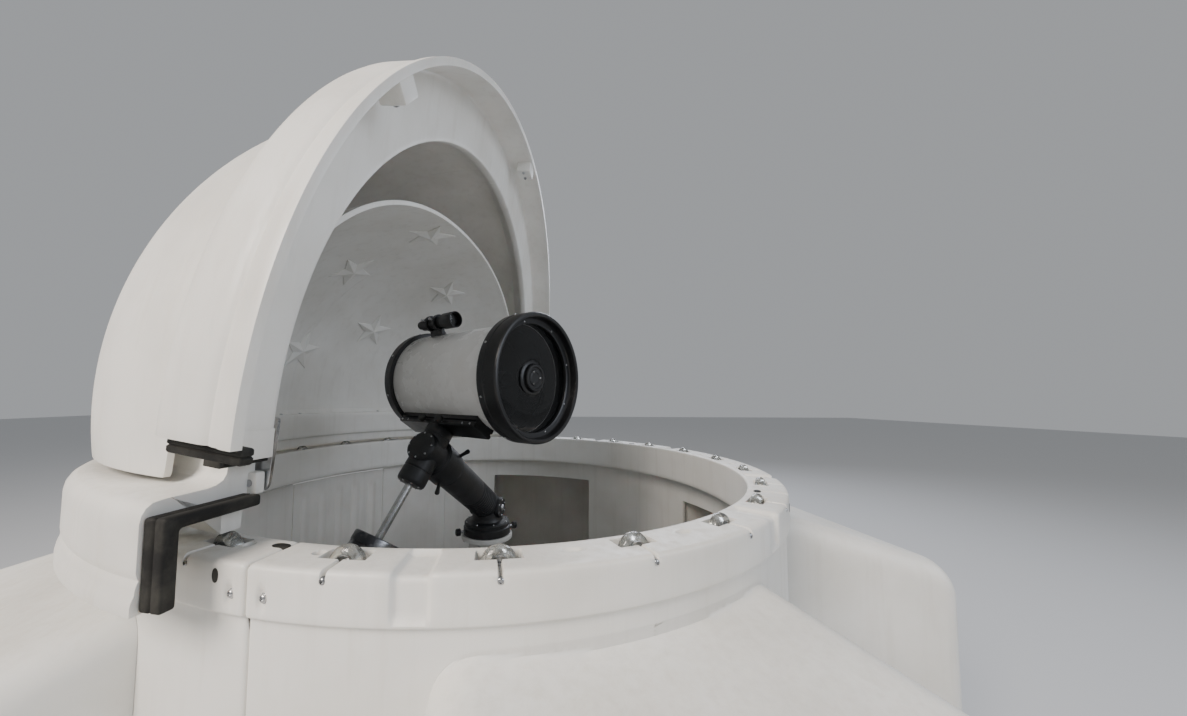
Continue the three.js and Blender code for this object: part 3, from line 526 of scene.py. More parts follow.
def wall_spot(r, y, z, angle):
    """A point at radius r along a direction from the middle, y beside it and z up."""
    return turned([r, y, z], angle)


def heading(angle):
    """The level direction at an angle from the x axis."""
    return wall_spot(1.0, 0.0, 0.0, angle)


on_door, on_post = [], []
for z in HINGE_HEIGHTS:
    centre = wall_spot(1.224, 0.0, z, HINGE_TURN)
    on_door.append(brick((1.2085, -0.044, z + 0.0005), (1.216, -0.007, z + 0.0455), HINGE_TURN))
    on_door.append(brick((1.215, -0.015, z + 0.001), (1.227, -0.0068, z + 0.045), HINGE_TURN))
    on_door.append(lathe(rounded(cylinder(6.6, 11.8, 0, 46), 0.0012), centre, UP, 28))
    on_post.append(lathe(mm([(0, -12), (6, -12), (6, 48), (4.8, 50), (0, 50)]), centre, UP, 20))
    on_post.append(lathe(rounded(cylinder(0, 11.8, -14, -1), 0.001), centre, UP, 28))
    on_post.append(brick((1.2085, 0.002, z - 0.0138), (1.2265, 0.034, z - 0.0012), HINGE_TURN))
    for y, up in ((-0.034, 0.012), (-0.034, 0.034), (-0.021, 0.023)):
        on_door.append(bolt_head(wall_spot(1.216, y, z + up, HINGE_TURN), heading(HINGE_TURN), 7.5, 2.8))
mesh_piece("door_hinges_moving", merged(on_door), steel, "door", sharp=35, bevel=0.0012)
mesh_piece("door_hinges_fixed", merged(on_post), steel, "enclosure", sharp=35, bevel=0.0012)

LEVER_Z = 0.560
lever_turn = DOOR_TURN + 0.055 - LEAF_EDGE
rose = rounded(mm([(0, 1210.2), (25.5, 1210.2), (25.5, 1215), (22.5, 1217.2), (15, 1218), (11.2, 1220.5),
                   (11.2, 1250), (0, 1250)]), 0.0012)
stations = []
for s in np.linspace(0, 1, 23):
    near_end = min(1.0, math.sqrt(max(0.02, 1 - max(0, (0.06 - s) / 0.06, (s - 0.93) / 0.07) ** 2)))
    spot = wall_spot(1.2540 - 0.004 * math.sin(math.pi * s), -0.012 + 0.142 * s, LEVER_Z, lever_turn)
    stations.append((spot, 0.0072 * near_end, (0.0138 - 0.004 * s) * near_end))
lever = merged([lathe(rose, (0, 0, LEVER_Z), heading(lever_turn), 40),
                loft(stations, heading(lever_turn), UP)])
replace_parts(mesh_piece("door_lever", lever, steel, "door", sharp=40), "door_handle")

# The ring wheels: clear polyurethane globes with a steel ball bearing pressed in, each on a bolt
# that lies across the beam with its head in the slit on the outer face.
WHEEL_Z = 1.203
m = new_material("clear cast polyurethane", "wheel_plastic", "#e9eeee", 0.08, Transmission_Weight=0.88,
                 IOR=1.46)
where = add(m, "TexCoord"), "Object"
scuff = add(m, "TexNoise", {"Vector": where}, Scale=160.0, Detail=6.0, Roughness=0.65)
dull = add(m, "MapRange", {"Value": scuff}, From_Min=0.4, From_Max=0.75, To_Min=0.05, To_Max=0.4)
plug(m, dull, "Roughness")
plug(m, add(m, "ValToRGB", {"Fac": scuff}, [(0.35, "#e2e8e8"), (0.7, "#cfc9bd")]), "Base Color")
plug(m, add(m, "Bump", {"Height": scuff}, Strength=0.15, Distance=0.0006), "Normal")
clear_tread = m
bearing_steel = brushed_steel("polished bearing steel", "#d2d3d5", 0.14, 0)

tread = rounded(mm([(21.5, -14.8), (27, -14.8), (34.5, -9.5), (36.8, 0), (34.5, 9.5), (27, 14.8),
                    (21.5, 14.8)]), 0.004, 5)
half_hub = [(6.6, 13.5), (11, 13.5), (11.2, 11.5), (17, 11.5), (17.2, 13.2), (21, 13.2)]
hub = rounded(mm([(r, -h) for r, h in half_hub] + half_hub[::-1]), 0.0006, 2)
bolts = []
for i in range(25):
    out = heading((i - 2) * 2 * math.pi / 25)
    centre, foot = out * WHEEL_LINE + UP * WHEEL_Z, UP * WHEEL_Z
    name, wheel = f"ring_wheel_{i + 1:02d}", f"wheel_{i + 1:02d}"
    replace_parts(mesh_piece(f"{name}_tread", lathe(tread, centre, out, 40), clear_tread, wheel, sharp=60),
                name)
    mesh_piece(f"{name}_bearing", lathe(hub, centre, out, 28), bearing_steel, wheel, sharp=30)
    bolts.append(lathe(cylinder(0, 5.6, 1112.5, 1214.5), foot, out, 14))
    bolts.append(lathe(cylinder(0, 8.5, 1163, 1166.5), foot, out, 18))
    bolts.append(bolt_head(out * 1.2145 + foot, out, 15, 7))
mesh_piece("wheel_bolts", merged(bolts), steel, "enclosure", sharp=35)

# Bolts that clamp the wall panels together, sunk in oval recesses beside each joint.
clamps = []
for k in range(5):
    for s in (-1, 1):
        out = heading(k * BEND + s * BOLT_TURN)
        clamps.append(bolt_head(out * 1.2135 + UP * BOLT_Z, out, 15, 5))
        clamps.append(lathe(cylinder(0, 9.5, 0, 1.2), out * 1.2125 + UP * BOLT_Z, out, 20))
mesh_piece("joint_bolts", merged(clamps), steel, "enclosure", sharp=35)

# The dome: two fixed rear shells on the wheels and a two-sided visor hinged low at their sides. All
# are the same moulded plastic, turned from one section with a deep skirt, a ledge and the shell.
DOME_TURN = math.radians(-16)
OPEN = math.radians(83)
PIVOT = np.array([-0.174, 0.0, 1.331])
SPRING = 0.175
LEDGE = 0.067
POWER = 2.2
SKIN = 0.014
SIDES = ((1, "left"), (-1, "right"))


def in_dome(points):
    """Points of the dome turned to its place in the photograph."""
    return turned(points, DOME_TURN)


def in_visor(points):
    """Points of the closed visor, tipped back about the hinge line and turned with the dome."""
    x, y, z = np.moveaxis(np.asarray(points) - PIVOT, -1, 0)
    c, s = math.cos(OPEN), math.sin(OPEN)
    return in_dome(np.stack([x * c - z * s, y, x * s + z * c], -1) + PIVOT)


def carried(place, parts):
    """Parts put in their place and made one."""
    return merged([(place(p), f) for p, f in parts])


def shell_side(radius, crown, a):
    """The dome's curve from its spring line to the crown, a superellipse."""
    r = radius * np.cos(a) ** (2 / POWER)
    r[a > math.pi / 2 - 1e-9] = 0.0
    return np.stack([r, SPRING + (crown - SPRING) * np.sin(a) ** (2 / POWER)], 1)


def shell_marks(radius, crown, cut, count):
    """Places up the curve: even ones, close ones at the edge's step and where the edge meets the crown."""
    fine = np.linspace(0, math.pi / 2, 4001)
    r, h = shell_side(radius, crown, fine).T
    past = r + cut(h)
    k = int(np.argmax(past < 0))
    meets = fine[k - 1] + (fine[k] - fine[k - 1]) * past[k - 1] / (past[k - 1] - past[k])
    near = meets - np.array([0, 0.00016, 0.0007, 0.0016, 0.003, 0.0055, 0.009, 0.015, 0.024])
    step = np.arcsin(((np.linspace(0.182, 0.262, 18) - SPRING) / (crown - SPRING)) ** (POWER / 2))
    return np.unique(np.concatenate([np.linspace(0, math.pi / 2, count), near, step])), meets


def dome_section(radius, crown, shoulder, rim, track, marks):
    """Matching outer and inner points of the whole section, heights above the ring.

    The outer path climbs the skirt with its end bead and groove, turns in over the shoulder and goes
    up the shell. The inner path climbs the skirt's inside, crosses the ledge's underside, where the
    rear shells have the rib that runs on the wheels, turns up the rim and follows the shell.
    """
    bead = [(1311.8, -67), (1311.8, -51), (1310.5, -43), (1306.5, -33), (1306, -25), (1304, -17),
            (1301.5, -11), (1304, -5), (1306, 3)]
    over = [(1306, -34), (1303.5, -20), (1297.5, -9), (1288, -2), (1276, 0), (1262, 1), (1258, 1),
            (1246, 1), (1242, 1)]
    a = mm(bead) + [(r, shoulder + h) for r, h in mm(over)]
    a += [(radius + r, shoulder + h) for r, h in mm([(40, 2), (24, 5), (11, 12), (4, 24)])]
    a += [(radius, SPRING + 0.0004 * k) for k in range(4)]
    under = [(1292, -10), (1290, -3), (1284, 0), (1270, 0), (1240, 0), (1168, 0)]
    b = [(1.292, h) for _, h in mm(bead)] + [(r, LEDGE + h) for r, h in mm(under)]
    b += [(1.166, track), (1.124, track)]
    b += [(r, LEDGE + h) for r, h in mm([(1122, 0), (1108, 0), (1100, 3), (1097, 11)])]
    top = max(rim + 0.026, SPRING - 0.0005)
    b += [(1.097, rim - 0.012), (1.101, rim - 0.002), (1.108, rim), (radius - 0.034, rim + 0.002),
          (radius - SKIN, top)]
    out, ins = paired(a, b, 0.014)
    up_a, up_b = shell_side(radius, crown, marks), shell_side(radius - SKIN, crown - SKIN, marks)
    up_b[:, 1] = np.maximum(up_b[:, 1], top + 0.0002 * np.arange(len(marks)))
    up_a[:, 1] = np.maximum(up_a[:, 1], SPRING + 0.0014 + 0.0002 * np.arange(len(marks)))
    return np.concatenate([out, up_a]), np.concatenate([ins, up_b])


def swept(section, cut, side, rear, columns):
    """Half of the dome on one side of its middle, from the middle plane to a cut that depends on height.

    Every row turns between the middle plane and the angle at which its radius meets the cut, so the
    cut face is exactly flat however the section bends.
    """
    r, h = section.T
    gap = np.arcsin(np.clip(0.00015 / np.maximum(r, 1e-4), 0, 1))
    at = np.minimum(np.arccos(np.clip(cut(h) / np.maximum(r, 1e-6), -1, 1)), math.pi - gap)
    start, end = (at, math.pi - gap) if rear else (gap, at)
    t = start[:, None] + (end - start)[:, None] * np.linspace(0, 1, columns)[None]
    r, z = r[:, None], RING_TOP + np.repeat(h[:, None], columns, 1)
    shape = np.stack([r * np.cos(t), side * r * np.sin(t), z], -1)
    return shape if side > 0 else shape[:, ::-1]


def rear_cut(h):
    """The rear shells' front edge: upright on the skirt and rim, then leaning forwards up the shell."""
    return -0.178 + 0.083 * np.clip((h - 0.200) / 1.130, 0, 1)


def visor_cut(h):
    """The visor's edge: upright up to the rim, then a rounded step back over the rear shells."""
    lean = -0.171 - 0.094 * np.clip((h - 0.245) / 1.155, 0, 1)
    return -0.050 + (lean + 0.050) * step_in(h, 0.234, 0.012)


marks, meets = shell_marks(1.156, 1.102, rear_cut, 46)
rear = dome_section(1.156, 1.102, 0.116, 0.200, 0.0203, marks[marks <= meets + 1e-9])
marks, _ = shell_marks(1.185, 1.155, visor_cut, 56)
visor = dome_section(1.185, 1.155, 0.113, 0.111, LEDGE, marks)
for name, body, sections, cut, place, columns, nodes in (
        ("rear_shell", "dome", rear, rear_cut, in_dome, 90, ["rear_shell"]),
        ("visor", "visor", visor, visor_cut, in_visor, 110, ["visor_panel", "visor_band"])):
    for side, word in SIDES:
        skins = [place(swept(section, cut, side, body == "dome", columns)) for section in sections]
        shell = mesh_piece(f"{name}_{word}_moulding", two_sided(*skins), white_poly, body, bevel=0.004)
        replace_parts(shell, *(f"{node}_{word}" for node in nodes))

# Raised five-pointed stars moulded into the inside of the rear shells, each a faceted pyramid on a
# low upright edge. Ten facets run from its middle to its tips and notches, laid onto the shell.
STAR_TIP, STAR_NOTCH, STAR_EDGE, STAR_RISE, STAR_FOOT = 0.118, 0.04956, 0.0045, 0.0175, -0.001
STARS = [(-0.256, -0.144, 1.067), (-0.449, 0.463, 0.960), (-0.688, -0.116, 0.933), (-0.892, 0.359, 0.717),
         (-1.067, -0.011, 0.548)]


def star(centre):
    """One star about a point of the shell's inner face."""
    reach = np.array([1.142, 1.142, 1.088 - SPRING])
    low = np.array([0.0, 0.0, SPRING])
    slope = (np.array(centre) - low) / reach
    out = math.hypot(slope[0], slope[1]) ** (POWER - 2)
    slope = np.array([slope[0] * out, slope[1] * out, slope[2] ** (POWER - 1)]) / reach
    n = unit(slope)
    across = unit(np.cross(UP, n))
    cells = 7
    turns = np.arange(11) * math.pi / 5
    reaches = np.where(np.arange(11) % 2, STAR_NOTCH, STAR_TIP)[:, None]
    corner = np.stack([np.sin(turns), np.cos(turns)], 1) * reaches
    points, faces = [], []
    for a, b in zip(corner[:-1], corner[1:]):
        at = {}
        for i in range(cells + 1):
            for j in range(i + 1):
                at[i, j] = len(points)
                points.append((*(a * (i - j) + b * j) / cells, STAR_EDGE + STAR_RISE * (1 - i / cells)))
        for i in range(cells):
            for j in range(i + 1):
                faces.append([at[i, j], at[i + 1, j], at[i + 1, j + 1]])
                if j < i:
                    faces.append([at[i, j], at[i + 1, j + 1], at[i, j + 1]])
        foot = len(points)
        points += [(*points[at[cells, j]][:2], STAR_FOOT) for j in range(cells + 1)]
        points.append((0.0, 0.0, STAR_FOOT))
        for j in range(cells):
            faces.append([at[cells, j], foot + j, foot + j + 1, at[cells, j + 1]])
            faces.append([foot + j + 1, foot + j, foot + cells + 1])
    points = np.array(points)
    flat = np.array(centre) + points[:, 0:1] * across + points[:, 1:2] * np.cross(n, across)
    for _ in range(12):
        share = np.maximum(flat - low, [-9, -9, 0]) / reach
        level = np.hypot(share[:, 0], share[:, 1]) ** POWER + share[:, 2] ** POWER - 1
        flat = flat - level[:, None] / (POWER * np.linalg.norm(slope)) * n
    return welded(flat - points[:, 2:3] * n + UP * RING_TOP, faces)


points, faces = merged([star(centre) for centre in STARS])
mesh_piece("shell_stars", (in_dome(points), faces), white_poly, "dome", sharp=8)

# Blocks moulded on the inside of the visor's skirt, where a strut or latch is bolted when the dome
# is shut, with their bolts, and the bolts that hold the mouldings together along the middle.
blocks, fixings = [], []
for angle in np.radians([7, -51]):
    blocks.append(brick((1.240, -0.038, 1.161), (1.2945, 0.038, 1.235), angle))
    for y in (-0.021, 0.021):
        fixings.append(bolt_head(wall_spot(1.2402, y, 1.198, angle), -heading(angle), 17, 6))
mesh_piece("visor_blocks", carried(in_visor, blocks), white_poly, "visor", bevel=0.006)
for angle in np.radians([-54.5, -47.5, -3.2, 3.2, 44, 60]):
    fixings.append(bolt_head(wall_spot(1.132, 0.0, 1.3318, angle), UP, 18, 6))
mesh_piece("visor_bolts", carried(in_visor, fixings), steel, "visor", sharp=35)
fixings = [bolt_head(wall_spot(1.122, 0.0, 1.4206, angle), UP, 18, 6)
           for angle in np.radians([176.8, 183.2, 150, 210, 122, 238])]
mesh_piece("rear_shell_bolts", carried(in_dome, fixings), steel, "dome", sharp=35)

# The hinges: white lugs on the rear shells hold steel pins, and bent steel straps on the pins carry
# the visor. Dark knobs on bolts through the shell clamp the visor's heel when the dome is shut.
lugs, pins, knobs = [], [], []
for side, _ in SIDES:
    lugs.append(brick((-0.2238, side * 1.0755, 1.3072), (-0.1562, side * 1.099, 1.3548)))
    inwards = np.array([0, -side, 0])
    pins.append(lathe(cylinder(0, 8, 0, 47.5), (PIVOT[0], side * 1.100, PIVOT[2]), inwards, 20))
    pins.append(hex_nut((PIVOT[0], side * 1.060, PIVOT[2]), inwards, 19, 8.5))
    knob_at = np.array([-0.230, side * 1.1245, 1.405])
    pins.append(lathe(cylinder(0, 6, -50, 6), knob_at, inwards, 16))
    pins.append(bolt_head(knob_at - inwards * 0.0415, -inwards, 22, 7))
    grip = rounded(mm([(0, 2), (12, 2), (14, 10), (21.5, 13), (21.5, 26), (16, 31), (0, 31)]), 0.002)
    points, faces = lathe(grip, knob_at, inwards, 48)
    rel = points - knob_at
    lobes = 0.5 - 0.5 * np.cos(6 * np.arctan2(rel[:, 2], rel[:, 0]))
    notch = 1 - 0.11 * step_in(np.hypot(rel[:, 0], rel[:, 2]), 0.0185, 0.0015) * lobes ** 2
    knobs.append((knob_at + rel * np.stack([notch, np.ones_like(notch), notch], 1), faces))
mesh_piece("hinge_lugs", carried(in_dome, lugs), white_poly, "dome", bevel=0.005)
mesh_piece("hinge_pins", carried(in_dome, pins), steel, "dome", sharp=35)


def black_rubber(name, slot, colour, rough, grain):
    """Black rubber or nylon: matt, with a fine moulded grain, greyed in patches by dust and bloom."""
    m = new_material(name, slot, colour, rough, Specular_IOR_Level=0.35)
    where = add(m, "TexCoord"), "Object"
    bloom = add(m, "TexNoise", {"Vector": where}, Scale=14.0, Detail=5.0, Roughness=0.65)
    plug(m, add(m, "ValToRGB", {"Fac": bloom}, [(0.40, colour), (0.75, "#45443f")]), "Base Color")
    dull = add(m, "MapRange", {"Value": bloom}, From_Min=0.3, From_Max=0.7, To_Min=rough - 0.12,
               To_Max=rough + 0.08)
    plug(m, dull, "Roughness")
    skin = add(m, "TexNoise", {"Vector": where}, Scale=grain, Detail=4.0)
    plug(m, add(m, "Bump", {"Height": skin}, Strength=0.4, Distance=0.0006), "Normal")
    return m


rubber = black_rubber("black cellular rubber seal", "seal_rubber", "#171716", 0.78, 620.0)
grip_plastic = black_rubber("black moulded nylon knob", "black_paint", "#1b1b1d", 0.46, 900.0)
mesh_piece("heel_knobs", carried(in_dome, knobs), grip_plastic, "dome", sharp=45)


def extruded(outline, origin, u, v, axis, stations):
    """A closed outline carried along an axis through stations of (distance, inset), capped flat."""
    flat = np.array(outline[:-1] if np.allclose(outline[0], outline[-1]) else outline)
    ahead, behind = np.roll(flat, -1, 0) - flat, flat - np.roll(flat, 1, 0)
    normal = sum(np.stack([d[:, 1], -d[:, 0]], 1) / np.linalg.norm(d, axis=1)[:, None]
                 for d in (ahead, behind))
    area = np.sum(flat[:, 0] * np.roll(flat[:, 1], -1) - np.roll(flat[:, 0], -1) * flat[:, 1])
    normal *= np.sign(area) / np.linalg.norm(normal, axis=1)[:, None]
    rings = []
    for distance, inset in stations:
        p = flat - normal * inset
        rings.append(np.array(origin) + p[:, 0:1] * u + p[:, 1:2] * v + distance * np.array(axis))
    return capped(rings)


# Black cellular rubber seals glued to the mouldings' cut ends: down inside the skirt and in along
# the ledge, two soft lobes with a groove between.
for body, place, name, start, depth, inside in (("dome", in_dome, "rear_seal", -0.1777, 45, 1106),
                                                ("visor", in_visor, "visor_seal", -0.0783, 28, 1204)):
    profile = rounded(mm([(1262, -64), (1288.5, -64), (1288.5, 93), (inside, 93), (inside, 69.5),
                          (1262, 69.5)]), 0.007)
    groove = [(0.40, 0), (0.46, 2), (0.50, 3.2), (0.54, 2), (0.60, 0)]
    stations = mm([(0, 4), (1.5, 1.5), (4, 0.3)] + [(depth * share, inset) for share, inset in groove]
                  + [(depth - 4, 0.3), (depth - 1.5, 1.5), (depth, 4)])
    for side, word in SIDES:
        seal = extruded(profile, (start, 0, RING_TOP), [0, side, 0], UP, [1, 0, 0], stations)
        seal = mesh_piece(f"{name}_{word}_rubber", carried(place, [seal]), rubber, body, sharp=40)
        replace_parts(seal, f"{name}_{word}")

# Oval black rubber plugs in the vent holes of the wall's mouldings, one on the ring and one on its
# face beside each joint of the panels.
plugs = []
for k in range(5):
    for degrees, r, z, on_ring, wide, high in ((-36.75, 1.132, 1.220, True, 0.020, 0.011),
                                               (-39.25, 1.220, 1.193, False, 0.0075, 0.013)):
        out = heading(k * BEND + math.radians(degrees))
        face, across = (UP, out) if on_ring else (out, UP)
        layers = [(out * r + UP * z + face * d, wide - inset, high - inset)
                  for d, inset in ((-0.004, 0), (0.0006, 0), (0.0011, 0.0008))]
        plugs.append(loft(layers, np.cross(UP, out), across, 28, 2.2))
mesh_piece("vent_plugs", merged(plugs), rubber, "enclosure", sharp=40)

# The visor's rim runs on past the cut as a tongue that reaches the hinge strap, of the same
# moulding, with a narrow rubber strip down its outer side and across its end.
for side, word in SIDES:
    profile = rounded(mm([(1097.2, 67.2), (1199.5, 67.2), (1199.5, 115), (1193, 129), (1157, 129),
                          (1150, 111), (1097.2, 111)]), 0.004)
    steps = [(d, 0) for d in np.linspace(0.049, 0.108, 7)] + mm([(110.8, 0.8), (112, 3)])
    points, faces = extruded(profile, (0, 0, RING_TOP), [0, side, 0], UP, (-1, 0, 0), steps)
    points[:, 1] = side * np.sqrt(points[:, 1] ** 2 - points[:, 0] ** 2)
    mesh_piece(f"visor_tongue_{word}", (in_visor(points), faces), white_poly, "visor", sharp=35)
    strip = rounded(mm([(-50.5, 1198.5), (-50.5, 1206.5), (-118, 1206.5), (-118, 1102), (-111.8, 1102),
                        (-111.8, 1198.5)]), 0.0015)
    lift = mm([(0, 2.2), (0.7, 0.7), (2.2, 0), (38.8, 0), (40.3, 0.7), (41, 2.2)])
    points, faces = extruded(strip, (0, 0, 1.2885), [1, 0, 0], np.array([0, side, 0]), UP, lift)
    mesh_piece(f"visor_tongue_{word}_strip", (in_visor(points), faces), rubber, "visor", sharp=40)

# The straps: bent stainless plate, an eye round the pin, a short arm inside the rim and a foot that
# is bolted through the tongue of the rim.
eye = [(PIVOT[0] + 0.0236 * math.cos(t), PIVOT[2] + 0.0236 * math.sin(t))
       for t in np.linspace(math.pi / 2, 1.5 * math.pi, 24)]
arm = eye + mm([(-38.5, 1307.4), (-32.5, 1309.4), (-30.5, 1315.4), (-30.5, 1346.6), (-32.5, 1352.6),
                (-38.5, 1354.6)])
for side, word in SIDES:
    out, inner_face = np.array([0, side, 0]), side * 1.0643
    parts = [extruded(arm, out * 1.0643, [1, 0, 0], UP, out, mm([(0, 1), (1, 0), (8.4, 0), (9.4, 1)]))]
    parts.append(brick((-0.099, side * 1.0725, 1.3075), (-0.031, side * 1.0915, 1.3235)))
    for x in (-0.085, -0.048):
        parts.append(bolt_head((x, inner_face, 1.331), -out, 16, 5.5))
    parts.append(lathe(rounded(cylinder(8.8, 16.5, 0, 1.8), 0.0004), (PIVOT[0], inner_face, PIVOT[2]), -out,
                       28))
    strap = mesh_piece(f"hinge_strap_{word}_plate", carried(in_visor, parts), steel, "visor", sharp=35)
    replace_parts(strap, f"hinge_strap_{word}")

# The pier: a powder-coated steel pipe with a welded foot flange on anchor studs and a head flange.
# The tube's middle and its direction are placed as in the photograph, and the polar axis is square
# to the declination axis and meets the pier's middle line.
TUBE = np.array([-0.069, -0.300, 1.590])
AHEAD = heading(math.radians(-44))
SIDE = np.cross(UP, AHEAD)
TILT = math.radians(55)
DEC = SIDE * math.cos(TILT) + UP * math.sin(TILT)
DEC_REACH = 0.330
HEAD = TUBE - DEC_REACH * DEC
LEVEL = unit(HEAD * [1, 1, 0])
POLAR = unit(LEVEL - UP * (LEVEL @ DEC) / DEC[2])
REACH = np.linalg.norm(HEAD[:2]) / np.linalg.norm(POLAR[:2])
FOOT = HEAD - REACH * POLAR


def painted(name, slot, colour, worn, rough, grain_mm, depth, rubbed=0.22, coat=0.12):
    """Paint on metal: a grain of the given size in millimetres, cloudy sheen and fine rub marks.

    A broad and shallow grain is the orange peel of smooth paint, and a fine and deep one is a cast
    skin. Rub marks are thin stretched noise that is a little brighter and smoother than the rest.
    """
    m = new_material(name, slot, colour, rough, Coat_Weight=coat, Coat_Roughness=0.25)
    where = add(m, "TexCoord"), "Object"
    cloud = add(m, "TexNoise", {"Vector": where}, Scale=8.0, Detail=5.0, Roughness=0.6)
    tone = add(m, "ValToRGB", {"Fac": cloud}, [(0.34, worn), (0.60, colour)])
    stretch = add(m, "Mapping", {"Vector": where}, Scale=(6.0, 6.0, 90.0), Rotation=(0.5, 0.3, 0.2))
    mark = add(m, "TexNoise", {"Vector": stretch}, Scale=4.0, Detail=6.0, Roughness=0.7)
    mark = add(m, "MapRange", {"Value": mark}, From_Min=0.63, From_Max=0.72, To_Max=rubbed)
    rubs = add(m, "Mix", {"Factor": mark, 6: tone}, data_type="RGBA")
    rubs.inputs[7].default_value = srgb("#8d8d8a")
    plug(m, (rubs, 2), "Base Color")
    sheen = add(m, "MapRange", {"Value": cloud}, From_Min=0.3, From_Max=0.7, To_Min=rough - 0.07,
                To_Max=rough + 0.09)
    plug(m, add(m, "Math", {0: sheen, 1: mark}, operation="SUBTRACT"), "Roughness")
    skin = add(m, "TexNoise", {"Vector": where}, Scale=1000.0 / grain_mm, Detail=3.0, Roughness=0.55)
    plug(m, add(m, "Bump", {"Height": skin}, Strength=0.35, Distance=depth), "Normal")
    return m


pier_paint = painted("white powder-coated steel", "white_paint", "#e6e5e1", "#d6d4cd", 0.42, 2.0, 0.0005)
cast_black = painted("black crackle paint on cast aluminium", "black_paint", "#1a1b1d", "#242527", 0.44,
                     1.6, 0.0008)
smooth_black = painted("satin black enamel on aluminium", "black_paint", "#131416", "#1d1e20", 0.34, 4.0,
                       0.0003)
tube_white = painted("white baked enamel on rolled aluminium", "white_paint", "#f4f3f0", "#eceae6", 0.26,
                     5.0, 0.0002, 0.05)
pipe = mm([(0, 0), (186, 0), (190, 4), (190, 16), (186, 20), (96, 20.5), (91.5, 22.5), (87.5, 26.5),
           (84.5, 32), (84, 40), (84, 846), (85.2, 852), (88, 856.5), (93, 859.5), (116.5, 860.2),
           (119.5, 863), (119.5, 877), (117, 879.8), (0, 879.8)])
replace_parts(mesh_piece("pier_pipe", lathe(pipe, (0, 0, 0), UP, 72), pier_paint, "enclosure", sharp=32),
            "pier")
studs = []
for k in range(6):
    out = heading(math.radians(60 * k + 15))
    studs.append(hex_nut(out * 0.152 + UP * 0.0202, UP, 30, 15))
    studs.append(hex_nut(out * 0.104 + UP * 0.860, -UP, 17, 10))
mesh_piece("pier_studs", merged(studs), steel, "enclosure", sharp=32)

# The mount's fixed half: a cast turntable on the pier's head, a neck, and the polar housing with its
# end cap, cooling ribs, hand knobs and bolt circle.
base = mm([(0, 880.3), (108, 880.3), (110, 882.5), (110, 912), (106.5, 916.5), (104, 917.5), (104, 921.5),
           (106, 922.5), (106, 933), (101, 938.5), (90, 940), (76, 943), (71.5, 952), (70, 964), (70, 1015),
           (67, 1024), (60, 1030), (0, 1031)])
top = REACH - 0.150
house = mm([(0, -40), (54, -40), (60, -37.5), (64, -32), (66, -22), (66, 40)])
rib = [(66, 0), (64.5, 1.5), (61, 3), (61, 7.5), (64.5, 9), (66, 10.5)]
for k in range(9):
    house += mm([(r, 52 + 16.5 * k + d) for r, d in rib])
house += [(r, top + d) for r, d in mm([(66, -190), (66, -14), (64.2, -12), (64.2, -8), (66, -6),
                                       (65.5, -1.5), (64, 0), (0, 0)])]
parts = [lathe(base, (0, 0, 0), UP, 64), lathe(house, FOOT, POLAR, 64)]
cheek = unit(np.cross(POLAR, UP))
for out in (cheek, -cheek):
    parts.append(lathe(mm([(0, 50), (40, 50), (46, 56), (46, 70), (42, 76), (0, 77)]), FOOT, out, 48))
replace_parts(mesh_piece("mount_casting", merged(parts), cast_black, "enclosure", sharp=34), "mount_base")


def spokes(u, v, count, start=0.0):
    """Directions at even steps round an axis, from u towards v."""
    return [math.cos(t) * u + math.sin(t) * v for t in start + np.arange(count) * 2 * math.pi / count]


AZIMUTH_Z = 0.897
azimuth_screws = [heading(math.radians(degrees)) for degrees in (20, 200)]
bright = []
for out in (cheek, -cheek):
    bright.append(bolt_head(FOOT + out * 0.0765, out, 30, 9))
    for spoke in spokes(POLAR, np.cross(cheek, POLAR), 6):
        bright.append(bolt_head(FOOT + out * 0.076 + spoke * 0.034, out, 8.5, 3.5))
for k in range(8):
    bright.append(bolt_head(heading(math.radians(45 * k + 20)) * 0.0975 + UP * 0.9389, UP, 9.5, 4))
bright += [lathe(cylinder(0, 6, 100, 142), UP * AZIMUTH_Z, out, 18) for out in azimuth_screws]
mesh_piece("mount_screws", merged(bright), steel, "enclosure", sharp=32)
cap = rounded(mm([(0, 128), (16.5, 128), (16.5, 146), (12, 150), (0, 150)]), 0.002)
caps = merged([lathe(cap, UP * AZIMUTH_Z, out, 10) for out in azimuth_screws])
mesh_piece("azimuth_knobs", caps, grip_plastic, "enclosure", sharp=40, bevel=0.001)

# The mount's turning half: the polar head with its clutch ring, the declination housing across it,
# and the shaft with its counterweight and safety nut.
head = [(r, top + h) for r, h in mm([(0, 0.3), (71, 0.3), (74, 3)])]
head += [(r, REACH + h) for r, h in mm([(74, -52), (72, -46), (68, -43), (68, -40), (60, -36), (58, -30),
                                        (58, 40), (56, 50), (50, 57), (42, 59.8), (0, 60)])]
cross = mm([(0, -130), (40, -130), (47, -127.5), (50.5, -122), (52, -114), (52, -78), (49.5, -76.5),
            (49.5, -73.5), (52, -72), (52, 56), (50, 57.5), (50, 62.5), (52, 64), (52, 90), (50, 94),
            (47, 95), (0, 95)])
turret = merged([lathe(head, FOOT, POLAR, 64), lathe(cross, HEAD, DEC, 64)])
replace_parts(mesh_piece("mount_head", turret, cast_black, "polar_axis", sharp=34), "mount_turret")
screws = []
lever = mm([(70, 5.5), (86, 5.5), (98, 6.2), (108, 7.5), (113, 6.6), (116, 3.5)])
levers = [loft([(FOOT + POLAR * (top + 0.028) + out * d, h, h * 1.2) for d, h in lever], POLAR,
               np.cross(out, POLAR), 20)
          for out in spokes(cheek, np.cross(cheek, POLAR), 3, 0.4)]
u = unit(np.cross(DEC, POLAR))
